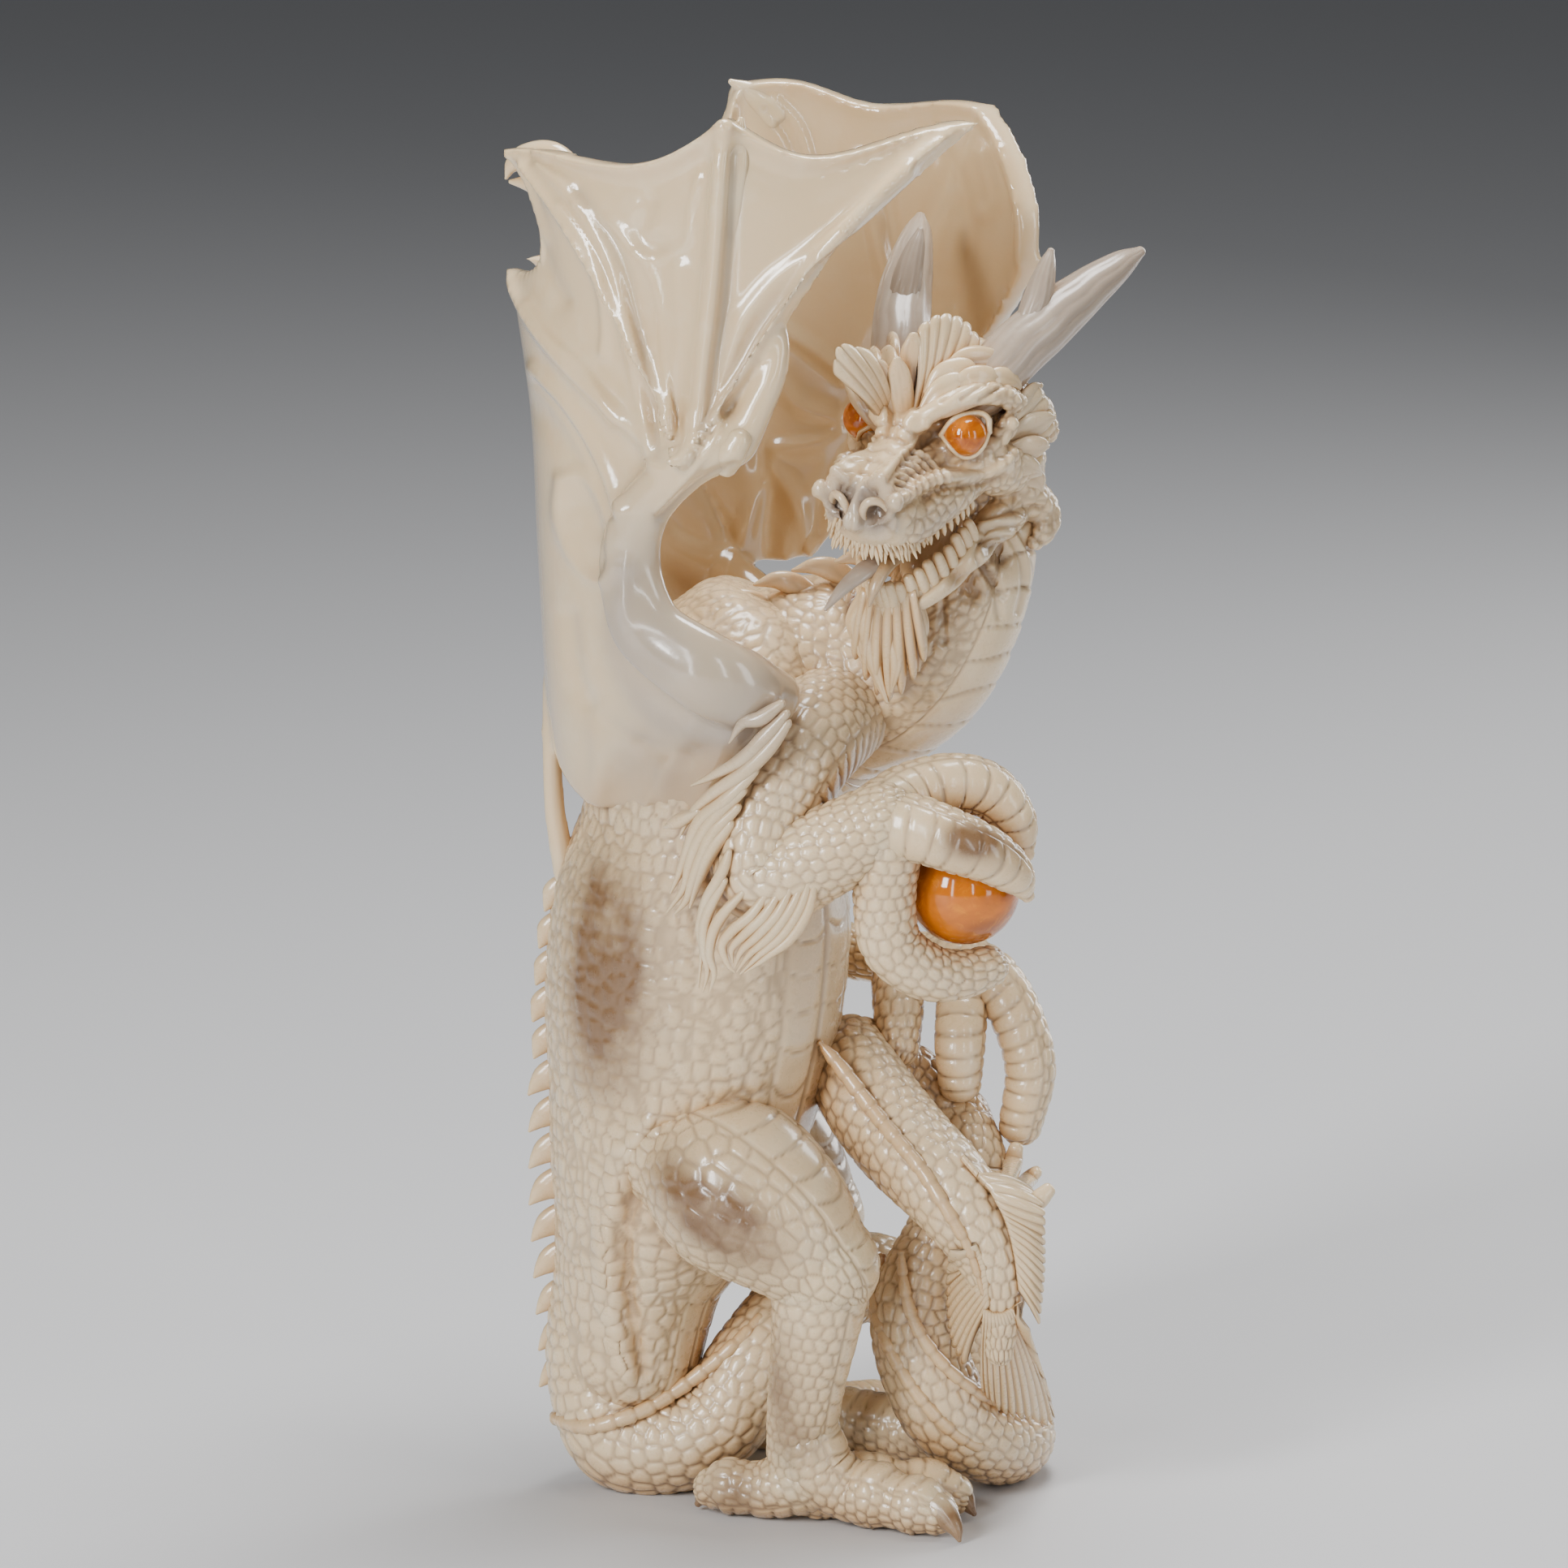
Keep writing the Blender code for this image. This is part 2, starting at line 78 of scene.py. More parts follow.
def closedGrid(points, masks):
    # Rings of points become quads; the first and last ring each become one pole, closed by a fan
    rings, around = points.shape[:2]
    verts = np.vstack([points[0].mean(0)[None], points[1:-1].reshape(-1, 3), points[-1].mean(0)[None]])
    index = 1 + np.arange((rings - 2) * around).reshape(rings - 2, around)
    after = np.roll(index, -1, axis=1)
    quads = np.stack([index[:-1], after[:-1], after[1:], index[1:]], axis=-1).reshape(-1, 4)
    last = len(verts) - 1
    start = np.stack([np.zeros(around, int), after[0], index[0]], axis=-1)
    end = np.stack([np.full(around, last), index[-1], after[-1]], axis=-1)
    corners = np.vstack([quads[:, :3], quads[:, [0, 2, 3]], start, end])
    a, b, c = (verts[corners[:, k]] - verts[0] for k in range(3))
    if (a * np.cross(b, c)).sum() < 0:
        quads, start, end = quads[:, ::-1], start[:, ::-1], end[:, ::-1]
    kept = {key: np.concatenate([[value[0].mean()], value[1:-1].ravel(), [value[-1].mean()]])
            for key, value in masks.items()}
    return verts, quads.tolist() + start.tolist() + end.tolist(), kept


def tube(rows, spacing, relief=None, up=(0, 1, 0)):
    # A ring carried along a path: middle + side * wide * cos(turn) + up * deep * sin(turn), pushed out along its
    # normal by the relief; both ends are rounded by a quarter ellipse
    dense = through(rows)
    walked = np.concatenate([[0], np.cumsum(np.linalg.norm(np.diff(dense[:, :3], axis=0), axis=1))])
    ahead = np.gradient(dense[:, :3], axis=0)
    ahead /= np.maximum(np.linalg.norm(ahead, axis=1), 1e-9)[:, None]
    bend = np.linalg.norm(np.diff(ahead, axis=0), axis=1) * dense[1:, 3:].max(1)
    paced = np.concatenate([[0], np.cumsum(np.linalg.norm(np.diff(dense[:, :4], axis=0), axis=1) + 0.4 * bend)])
    even = np.linspace(0, paced[-1], max(7, int(paced[-1] / spacing) + 1))
    path = np.column_stack([np.interp(even, paced, column) for column in dense.T])
    even = np.interp(even, paced, walked)
    middle, wide, deep = path[:, :3], path[:, 3], path[:, -1]
    way = np.gradient(middle, axis=0)
    way /= np.linalg.norm(way, axis=1)[:, None]
    first, final = min(wide[0], deep[0]), min(wide[-1], deep[-1])
    opening = np.linspace(math.pi / 2, 0, max(4, int(first * 1.57 / spacing)), endpoint=False)
    closing = np.linspace(0, math.pi / 2, max(4, int(final * 1.57 / spacing)) + 1)[1:]
    middle = np.vstack([middle[0] - way[0] * first * np.sin(opening)[:, None], middle,
                        middle[-1] + way[-1] * final * np.sin(closing)[:, None]])
    way = np.vstack([np.repeat(way[:1], len(opening), 0), way, np.repeat(way[-1:], len(closing), 0)])
    scale = np.concatenate([np.cos(opening), np.ones(len(even)), np.cos(closing)])
    tilt = np.concatenate([-np.sin(opening), np.zeros(len(even)), np.sin(closing)])
    walk = np.concatenate([-first * opening, even, walked[-1] + final * closing])
    wide = np.concatenate([np.full(len(opening), wide[0]), wide, np.full(len(closing), wide[-1])])
    deep = np.concatenate([np.full(len(opening), deep[0]), deep, np.full(len(closing), deep[-1])])

    upward = np.array(up, float)
    if abs(upward.dot(way[0])) > 0.95:
        upward = np.array((0.0, 0.0, 1.0)) if abs(way[0][2]) < 0.9 else np.array((1.0, 0.0, 0.0))
    ups = []
    for step in way:
        upward = upward - step * upward.dot(step)
        upward /= np.linalg.norm(upward)
        ups.append(upward)
    ups = np.array(ups)
    sides = np.cross(ups, way)
    radius = float(np.mean((wide + deep) / 2))
    around = max(8, int(round(2 * math.pi * max((wide + deep).max() / 2, 0.5) / spacing)))
    turn = np.linspace(0, 2 * math.pi, around, endpoint=False)
    cosine, sine = np.cos(turn)[None, :, None], np.sin(turn)[None, :, None]
    points = (middle[:, None] + sides[:, None] * (wide * scale)[:, None, None] * cosine
              + ups[:, None] * (deep * scale)[:, None, None] * sine)
    normal = sides[:, None] * cosine / wide[:, None, None] + ups[:, None] * sine / deep[:, None, None]
    normal /= np.linalg.norm(normal, axis=2)[:, :, None]
    normal = normal * np.sqrt(1 - tilt**2)[:, None, None] + (way * tilt[:, None])[:, None]
    masks = {}
    if relief:
        walkGrid, turnGrid = np.broadcast_arrays(walk[:, None], turn[None, :])
        height, masks = relief(walkGrid, turnGrid, radius, points)
        points = points + normal * (height * np.minimum(1, scale * 2)[:, None])[:, :, None]
    return closedGrid(points, masks)


def capped(ring):
    # Each end of the rings closed at the middle of its last ring
    first, last = (part.mean(1, keepdims=True).repeat(ring.shape[1], 1) for part in (ring[:1], ring[-1:]))
    return np.concatenate([first, ring, last])


def fan(feet, tips, count, thick, depth, bulge, scallop=0.06, steps=7, warm=0.15):
    # A thin leaf between two lines with count rays: its skin rises by the root of a rectified sine along the lines
    share = np.linspace(0, 1, count * steps + 1)

    def even(line):
        dense = through(line)
        return np.stack([np.interp(share * (len(dense) - 1), np.arange(len(dense)), axis) for axis in dense.T], axis=1)

    foot, tip = even(feet), even(tips)
    b = np.linspace(0, 1, 14)[None, :, None]
    wave = np.sqrt(np.abs(np.sin(math.pi * count * share)))
    across = (tip - foot) * (1 - scallop + scallop * wave)[:, None]
    normal = np.cross(np.gradient(foot + across / 2, axis=0), across)
    normal /= np.maximum(np.linalg.norm(normal, axis=1), 1e-9)[:, None]
    normal *= np.where(normal[:, 1:2] > 0, -1, 1)
    middle = foot[:, None] + across[:, None] * b + normal[:, None] * bulge * 4 * b * (1 - b)
    half = thick * (1 - 0.7 * b) / 2
    lift = depth * (wave - 1)[:, None, None] * np.minimum(1, 5 * b)
    front, back = middle + normal[:, None] * (half + lift), middle - normal[:, None] * half
    ring = np.concatenate([front, back[:, ::-1]], axis=1)
    groove = np.repeat(((1 - wave)**2 * 0.7)[:, None], ring.shape[1], 1)
    groove = np.vstack([groove[:1], groove, groove[-1:]])
    return closedGrid(capped(ring), {"groove": groove, "warm": np.full_like(groove, warm)})


def gather(shapes):
    # Puts shapes side by side in one list of points and faces, and fills the masks that one of them lacks
    keys = {key for shape in shapes for key in shape[2]}
    points, faces, masks, offset = [], [], {key: [] for key in keys}, 0
    for verts, corners, mask in shapes:
        points.append(verts)
        faces += [[i + offset for i in corner] for corner in corners]
        for key in keys:
            masks[key].append(mask.get(key, np.zeros(len(verts))))
        offset += len(verts)
    return np.vstack(points), faces, {key: np.concatenate(value) for key, value in masks.items()}


def addObject(name, data):
    item = bpy.data.objects.new(name, data)
    bpy.context.scene.collection.objects.link(item)
    return item


def meshOf(name, points, faces):
    data = bpy.data.meshes.new(name)
    data.from_pydata(points.tolist(), [], faces)
    data.update()
    return data


def merged(shapes, grain, rounds):
    # One even skin round closed shapes: voxel remesh, then each point moves towards its neighbours' mean
    points, faces, _masks = gather(shapes)
    data = meshOf("merging", points, faces)
    item = addObject("merging", data)
    skin = item.modifiers.new("skin", "REMESH")
    skin.mode = "VOXEL"
    skin.voxel_size = grain
    smooth = item.modifiers.new("smooth", "SMOOTH")
    smooth.factor = 0.5
    smooth.iterations = rounds
    final = item.evaluated_get(bpy.context.evaluated_depsgraph_get()).to_mesh()
    verts = np.empty(len(final.vertices) * 3)
    final.vertices.foreach_get("co", verts)
    normals = np.empty(len(final.vertices) * 3)
    final.vertex_normals.foreach_get("vector", normals)
    loops = np.empty(len(final.loops), int)
    final.loops.foreach_get("vertex_index", loops)
    starts = np.empty(len(final.polygons), int)
    final.polygons.foreach_get("loop_start", starts)
    corners = [part.tolist() for part in np.split(loops, starts[1:])]
    bpy.data.objects.remove(item)
    bpy.data.meshes.remove(data)
    return verts.reshape(-1, 3), corners, normals.reshape(-1, 3)


# Carved patterns


def noise01(i, j, seed):
    # Repeatable noise: the fraction of a large multiple of a sine
    value = np.sin(i * 127.1 + j * 311.7 + seed * 74.7) * 43758.5453
    return value - np.floor(value)


def cells(u, v, around, jitter, seed):
    # Distance to the nearest border between the jittered sites of a honeycomb; v comes round after that many cells
    row = np.floor(u)
    du, dv = [], []
    for i in (row - 1, row, row + 1):
        shift = 0.5 * np.mod(i, 2)
        column = np.floor(v - shift)
        for j in (column - 1, column, column + 1):
            home = np.mod(j, around)
            du.append(i + 0.5 + jitter * (noise01(i, home, seed) - 0.5) - u)
            dv.append(j + shift + 0.5 + jitter * (noise01(i, home, seed + 9) - 0.5) - v)
    du, dv = np.array(du), np.array(dv)
    nearest = (du**2 + dv**2).argmin(0)[None]
    ownU, ownV = np.take_along_axis(du, nearest, 0), np.take_along_axis(dv, nearest, 0)
    apartU, apartV = du - ownU, dv - ownV
    apart = np.hypot(apartU, apartV)
    edge = ((du + ownU) * apartU + (dv + ownV) * apartV) / 2 / np.maximum(apart, 1e-6)
    return np.where(apart > 1e-6, edge, 9).min(0)


def cells3(points, size, jitter, seed):
    # Half of the gap between the distances to the nearest and the second nearest jittered site of a cubic grid
    scaled = points / size
    home = np.floor(scaled)
    first, second = np.full(len(points), 9.0), np.full(len(points), 9.0)
    for step in np.ndindex(3, 3, 3):
        cell = home + np.array(step) - 1
        spot = [cell[:, k] + 0.5 + jitter * (noise01(cell[:, 0] + cell[:, 2] * 31.7, cell[:, 1], seed + 5 * k) - 0.5)
                for k in range(3)]
        gap = np.sqrt(((np.stack(spot, axis=1) - scaled)**2).sum(1))
        second = np.minimum(second, np.maximum(gap, first))
        first = np.minimum(first, gap)
    return (second - first) / 2 * size


def window(value, low, high, soft=1.0):
    # One between low and high, with soft shoulders
    return np.clip((value - low) / soft, 0, 1) * np.clip((high - value) / soft, 0, 1)


scaleLook = {"cut": 0.32, "depth": 0.32, "swell": 0.14, "jitter": 0.45, "seed": 1, "step": 0.25, "strips": [],
             "solid": False}


def scaly(look):
    # Honeycomb of scales on walk and turn, or cells of the place itself where the look is solid. Each strip is a band
    # of broad plates across it, bowed along the body. Lines are cut by a bell curve of the distance to the nearest
    # edge, between faces that swell towards their middles by its power 0.8
    look = {**scaleLook, **look}

    def relief(walk, turn, radius, place):
        size = look["scale"]
        count = max(6, round(2 * math.pi * radius / size))
        if look["solid"]:
            edge = cells3(place.reshape(-1, 3), size, look["jitter"], look["seed"]).reshape(walk.shape) * 1.1
        else:
            edge = cells(walk / (size * 0.9), turn / (2 * math.pi) * count, count, look["jitter"], look["seed"]) * size
        slope = 0
        for middle, half, pitch, bow in look["strips"]:
            off = np.mod(turn - math.radians(middle) + math.pi, 2 * math.pi) - math.pi
            half = math.radians(half)
            border = (half - np.abs(off)) * radius
            along = walk / pitch + bow * (off / half)**2 + 0.08 * np.sin(walk * 0.9)
            share = along - np.floor(along)
            line = np.minimum(share, 1 - share) * pitch
            edge = np.where(border > 0, np.minimum(line, border), np.minimum(edge, -border))
            slope = slope + np.where(border > 0, look["step"] * (share - 0.5) * np.clip(border / 2, 0, 1), 0)
        cut = np.exp(-(edge / look["cut"])**2)
        swell = np.minimum(edge / (size * 0.4), 1)**0.8
        return look["swell"] * swell - look["depth"] * cut + slope, {"groove": cut}
    return relief


# Materials


class Wire:
    # One output of a node, so that shader maths reads as plain expressions
    def __init__(self, tree, socket=None):
        self.tree, self.socket = tree, socket

    def node(self, kind, settings=None, sockets=None, output=0):
        # Adds a node, sets its settings first, then the values or links of its sockets
        made = self.tree.nodes.new(kind)
        for key, value in (settings or {}).items():
            setattr(made, key, value)
        feed(made, sockets or {})
        return Wire(self.tree, made.outputs[output])

    def maths(self, operation, first, second):
        return self.node("ShaderNodeMath", {"operation": operation}, {0: first, 1: second})

    def __add__(self, other):
        return self.maths("ADD", self, other)

    def __sub__(self, other):
        return self.maths("SUBTRACT", self, other)

    def __rsub__(self, other):
        return self.maths("SUBTRACT", other, self)

    def __mul__(self, other):
        return self.maths("MULTIPLY", self, other)

    __radd__ = __add__

    def clamped(self):
        return self.node("ShaderNodeClamp", sockets={"Value": self})

    def tint(self, base, colour):
        # Colour that goes from the base to this one as the value goes from 0 to 1
        return self.node("ShaderNodeMix", {"data_type": "RGBA", "clamp_factor": True},
                         {0: self, 6: base, 7: colour}, 2)


def feed(node, values):
    # Links or sets the node's inputs
    for key, value in values.items():
        if isinstance(value, Wire):
            value.tree.links.new(value.socket, node.inputs[key])
        else:
            node.inputs[key].default_value = value


def newFinish(name):
    # A material, its shader node, and the place on the object in metres
    material = bpy.data.materials.new(name)
    material.use_nodes = True
    tree = material.node_tree
    return material, tree.nodes["Principled BSDF"], Wire(tree).node("ShaderNodeTexCoord", output=3)


def ivoryFinish(name, look):
    # Clouds of cream, darker in cut lines, with painted shade in hollows, and stains and painted shade where the masks
    # say; polished over a fine grain
    material, shader, place = newFinish(name)
    mask = {key: place.node("ShaderNodeAttribute", {"attribute_name": key}, output=2)
            for key in ("groove", "warm", "umber", "grey")}

    def cloud(size, detail=3, rough=0.5):
        return place.node("ShaderNodeTexNoise", {}, {"Vector": place, "Scale": 1 / size, "Detail": detail,
                                                     "Roughness": rough})
    broad, middling, fine = cloud(0.045), cloud(0.009), cloud(0.0016, 4, 0.6)
    base = broad.tint(look["cream"], look["cream2"])
    base = ((middling - 0.5) * 1.6).clamped().tint(base, look["pale"])
    # Painted shade: ambient occlusion tints hollows, corners and the gaps between parts towards tan
    hollow = place.node("ShaderNodeAmbientOcclusion", {"samples": 6, "only_local": False},
                        {"Distance": look["paintedShadeReach"]}, output=1)
    depth = ((1 - hollow) * 1.6 - 0.14).clamped()
    # The warm mask is partly the ivory's own tone and partly painted shade, and joins the painted occlusion shade here
    base = ((mask["warm"] * 0.75 + depth * 0.7) * (0.6 + broad * 0.8)).tint(base, look["tan"])
    base = (mask["grey"] * (0.5 + broad * 0.9)).clamped().tint(base, look["grey"])
    # The umber mask is partly real stains and brown claws, partly painted shade in pressed hollows, nostrils and the
    # mouth
    base = (mask["umber"] * (0.1 + middling * 1.7)).clamped().tint(base, look["umber"])
    # Cut lines, darker still where the painted occlusion shade is deep
    base = (mask["groove"] * look["lineDark"] * (0.6 + depth)).clamped().tint(base, look["line"])
    bump = place.node("ShaderNodeBump", sockets={"Strength": 0.25, "Distance": 0.0002, "Height": fine})
    feed(shader, {"Base Color": base, "Roughness": look["rough"] + fine * 0.12 + mask["groove"] * 0.2,
                  "Normal": bump, "Coat Weight": look["coat"], "Coat Roughness": 0.12, "IOR": 1.5,
                  "Subsurface Weight": look["under"], "Subsurface Radius": (0.004, 0.0022, 0.0012),
                  "Subsurface Scale": 1.0})
    return material


def amberFinish(name, look):
    # Clouds from deep to bright with glowing veins, clear under a thin polish, and the colour also given off as a faint
    # painted glow
    material, shader, place = newFinish(name)
    cloud, veins = [
        place.node("ShaderNodeTexNoise", {}, {"Vector": place, "Scale": scale / look["cloud"], "Detail": detail,
                                              "Roughness": rough, "Distortion": distortion})
        for scale, detail, rough, distortion in ((1, 4, 0.6, 0.6), (3, 5, 0.7, 1.5))]
    base = ((cloud - 0.35) * 2.6).clamped().tint(look["deep"], look["bright"])
    base = ((veins - 0.55) * 3).clamped().tint(base, look["glow"])
    # Painted glow: the base colour is also emitted as a little light
    feed(shader, {"Base Color": base, "Roughness": 0.06 + veins * 0.06, "IOR": 1.5, "Coat Weight": 0.3,
                  "Coat Roughness": 0.03, "Transmission Weight": look["clear"], "Subsurface Weight": 0.3,
                  "Emission Color": base, "Emission Strength": 0.12,
                  "Subsurface Radius": (0.006, 0.002, 0.0006), "Subsurface Scale": 1.0})
    return material


ivoryLook = {
    "cream": (0.78, 0.61, 0.385, 1), "cream2": (0.72, 0.53, 0.30, 1), "pale": (0.84, 0.71, 0.50, 1),
    "tan": (0.52, 0.28, 0.10, 1), "umber": (0.19, 0.105, 0.048, 1), "grey": (0.36, 0.295, 0.235, 1),
    "line": (0.24, 0.14, 0.07, 1), "lineDark": 0.7, "paintedShadeReach": 0.012, "rough": 0.22, "coat": 0.6, "under": 0.12,
}
ivory = ivoryFinish("carvedIvory", ivoryLook)
polishedIvory = ivoryFinish("polishedIvory", {**ivoryLook, "rough": 0.13, "coat": 1.0, "paintedShadeReach": 0.020,
                                              "tan": (0.50, 0.32, 0.15, 1), "grey": (0.36, 0.30, 0.245, 1)})
hornBone = ivoryFinish("hornBone", {**ivoryLook, "cream": (0.46, 0.355, 0.265, 1), "cream2": (0.34, 0.265, 0.20, 1),
                                    "pale": (0.62, 0.51, 0.38, 1), "rough": 0.25, "coat": 0.4})
amberLook = {
    "deep": (0.19, 0.04, 0.001, 1), "bright": (0.68, 0.185, 0.002, 1), "glow": (0.88, 0.33, 0.006, 1), "cloud": 0.014,
    "clear": 0.12,
}
amber = amberFinish("amber", amberLook)
eyeAmber = amberFinish("eyeAmber", {**amberLook, "deep": (0.34, 0.07, 0.002, 1), "bright": (0.78, 0.23, 0.004, 1),
                                    "cloud": 0.006})

# Where the ivory is stained brown, and where it is tinted grey: x, y, z, reach and strength of each spot
stains = {
    "umber": [(-41, -28, 134, 11, 0.7), (-41, -29, 121, 12, 1), (-41, -29, 108, 12, 0.9), (-40, -26, 96, 9, 0.5),
        (-27, -40, 77, 6, 0.7), (-22, -46, 74, 7, 1), (-16, -50, 70, 7, 1.1), (-10, -52, 64.5, 7, 1),
        (33, -56, 152.5, 4.5, 0.9), (38, -55, 151.5, 4.5, 1), (43, -50, 148, 4, 0.8), (-5, -42, 40, 6, 0.5),
        (-5, -42, 30, 6, 0.7), (-2, -42, 20, 6, 0.8), (-13, -32, 6, 6, 0.9), (4, 28, 76, 15, 0.8),
        (2, 30, 58, 12, 0.7)],
    "grey": [(-34, -50, 208, 16, 0.6), (-30, -50, 190, 14, 0.6), (-12, -48, 180, 15, 0.8), (-36, -40, 164, 13, 0.6)],
}


# The front view: how far off the viewer is, the cosine and sine of the tilt, and the place of the picture's middle
view = {"far": 2182, "cosine": 0.978, "sine": 0.208, "middle": 151.9, "right": 3.25, "nearScale": 1.02}


def viewScale(y, z):
    # How much larger a point is drawn than at the statue's axis
    return view["far"] / (view["far"] + view["cosine"] * y - view["sine"] * (z - view["middle"]))


def viewHeight(high, scale, y):
    # The height z of a point at this depth y that is seen this high in the view
    return view["middle"] + (high / scale - view["sine"] * y) / view["cosine"]


def seenFrom(points):
    # Place of each point in the front view from 12 degrees up: mm to the right of and above the picture's middle
    x, y, z = np.asarray(points, float).T
    scale = viewScale(y, z)
    return np.stack([(x + view["right"]) * scale,
                     ((z - view["middle"]) * view["cosine"] + view["sine"] * y) * scale], axis=1)


def onRound(places, radius):
    # Points on the tusk's round of this radius that lie at these places of the front view
    made = []
    for right, high in np.reshape(places, (-1, 2)):
        scale = view["nearScale"]
        for _step in range(3):
            x = right / scale - view["right"]
            y = -math.sqrt(max(radius**2 - x**2, 1))
            z = viewHeight(high, scale, y)
            scale = viewScale(y, z)
        made.append((x, y, z))
    return np.array(made)


def onSkin(places, skin, lift):
    # Points at these places of the front view, this far in front of the skin's nearest point there
    seen = seenFrom(skin)
    made = []
    for right, high in np.reshape(places, (-1, 2)):
        gap = np.hypot(seen[:, 0] - right, seen[:, 1] - high)
        y = skin[gap <= max(gap.min() + 0.6, 1.6), 1].min() - lift
        scale = view["nearScale"]
        for _step in range(3):
            z = viewHeight(high, scale, y)
            scale = viewScale(y, z)
        made.append((right / scale - view["right"], y, z))
    return np.array(made)


def normalsOf(points, faces):
    # The mean direction of the faces round each point
    data = meshOf("measuring", points, faces)
    normals = np.empty(len(points) * 3)
    data.vertex_normals.foreach_get("vector", normals)
    bpy.data.meshes.remove(data)
    return normals.reshape(-1, 3)


def drawn(points, normals, masks, strokes):
    # Ridges and grooves along lines of the front view: each lifts the skin that faces the viewer by a bell curve of
    # the distance to its line, exp(-(distance / half)^2), and tints it. A stroke is its half width, its height, its
    # tints and its paths, each a row of right and high, right and high
    places = seenFrom(points)
    facing = np.clip(normals @ np.array((0, -view["cosine"], view["sine"])) / 0.35, 0, 1)
    height = np.zeros(len(points))
    for half, tall, tints, path in [(*stroke[:3], path) for stroke in strokes for path in stroke[3:]]:
        curve = through(np.reshape(path, (-1, 2)), 5)
        low, high = curve.min(0) - 2.6 * half, curve.max(0) + 2.6 * half
        close = np.flatnonzero(((places > low) & (places < high)).all(1) & (facing > 0))
        if not len(close):
            continue
        here, near = places[close], np.full(len(close), 99.0)
        for start, step in zip(curve[:-1], np.diff(curve, axis=0)):
            share = np.clip((here - start) @ step / step.dot(step), 0, 1)
            near = np.minimum(near, np.linalg.norm(here - start - share[:, None] * step, axis=1))
        bell = np.exp(-(near / half)**2) * facing[close]
        height[close] += tall * bell
        for key, value in tints.items():
            masks.setdefault(key, np.zeros(len(points)))
            masks[key][close] = np.minimum(1, masks[key][close] + value * bell)
    return points + normals * height[:, None]


def addPiece(name, shapes, material, node="dragon", strokes=None):
    # Scales the shapes to metres, puts them in the frame and keeps their masks as attributes of the points. The piece
    # stands for the node's solid, and stays a hair inside the box of all solids
    points, faces, masks = gather(shapes)
    if strokes:
        points = drawn(points, normalsOf(points, faces), masks, strokes)
    placed = points * unit + origin
    low, high = np.array(cadBox[0]) + 2e-5, np.array(cadBox[1]) - 2e-5
    placed = np.clip(placed, low, high)
    data = meshOf(name, placed, faces)
    data.shade_smooth()
    for key, spots in stains.items():
        total = np.array(masks.get(key, np.zeros(len(points))), float)
        for x, y, z, reach, strength in spots:
            total += strength * np.exp(-(((points - (x, y, z)) / reach)**2).sum(1))
        masks[key] = np.minimum(total, 1)
    for key, values in masks.items():
        data.attributes.new(key, "FLOAT", "POINT").data.foreach_set("value", np.asarray(values, np.float32))
    piece = addObject(name, data)
    data.materials.append(material)
    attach(piece, "root")
    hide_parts(node)
    print("made", name, len(faces), "faces")


# Torso and neck: rows of x, y, z and the radius to the side and across
torso = {
    "rows": [(-3, 0, 191.5, 3, 4), (-4, 0, 189.5, 12, 15), (-7, 0, 184.5, 18.5, 23), (-11, 0, 176, 23.5, 30),
        (-17, 0, 164, 27, 37), (-18, 0, 144, 28, 39), (-20.5, 0, 126, 31.5, 38), (-22.5, 0, 104, 31.5, 37),
        (-25, 0, 84, 28.5, 34), (-29, 0, 64, 24.5, 30), (-34, 0, 46, 18.5, 24), (-36, -2, 30, 15.5, 18)],
    "spacing": 0.72,
    "relief": {"scale": 3.7, "cut": 0.3, "depth": 0.36, "swell": 0.12, "jitter": 0.7, "solid": True,
        "strips": [(180, 11, 9.5, 0.25), (202, 11, 9.5, 0.2), (224, 10, 8.5, 0.2), (158, 11, 9.5, 0.2)]},
}
neck = {
    "rows": [(-18, 3, 164, 22), (-5, 3, 169, 24), (8, 1, 174, 23), (20, -5, 177, 18.5), (28, -9, 184, 15.8),
        (34, -9, 196, 14.2), (36, -7, 208, 13.4), (34, -7, 222, 13), (30, -10, 229, 12)],
    "spacing": 0.56,
    "relief": {"scale": 3, "cut": 0.27, "depth": 0.32, "swell": 0.1, "jitter": 0.7, "solid": True, "seed": 3,
        "strips": [(0, 52, 5.4, 0.5)]},
}
# The fold of the flank, and the folds of the throat; the warm and umber tints in their grooves and hollows are painted
# shade
flankStrokes = [
    (3, 1.5, {}, [-28.4, -71.7, -34.4, -81.1, -37.3, -96.5, -35.8, -111.9, -32.7, -123.8]),
    (2, -1.6, {"warm": 0.5}, [-25.3, -73.4, -30.4, -82.8, -33.5, -96.5, -32.3, -111.9, -29.8, -123.8]),
]
addPiece("torsoCarving", [tube(torso["rows"], torso["spacing"], scaly(torso["relief"]))], ivory, strokes=flankStrokes)
throatStrokes = [
    (0.7, -0.7, {"groove": 0.3}, [46.9, 53.2, 49.9, 48.1, 50.6, 42.1, 49.4, 36.1],
     [49.4, 53.2, 52.7, 47.2, 53, 40.4]),
    (0.8, -0.7, {"groove": 0.3}, [42.6, 53.2, 40.9, 48.9, 42.6, 44.6, 46.5, 39.5],
     [40.9, 47.2, 44.3, 42.1, 45.5, 35.2]),
    (0.8, 0.5, {}, [48.2, 54.1, 51.3, 47.2, 51.8, 40.4]),
    (0.8, -0.7, {"groove": 0.3}, [39.2, 51.5, 34.9, 45.5, 33.5, 38.7, 34, 30.1]),
    (2, -1.5, {"umber": 0.7}, [43.1, 51, 46, 47.6]),
    (2.3, -1.3, {"umber": 0.35, "warm": 0.8}, [36.6, 44.1, 39.7, 40.7]),
]
addPiece("neckCarving", [tube(neck["rows"], neck["spacing"], scaly(neck["relief"]))], ivory, strokes=throatStrokes)

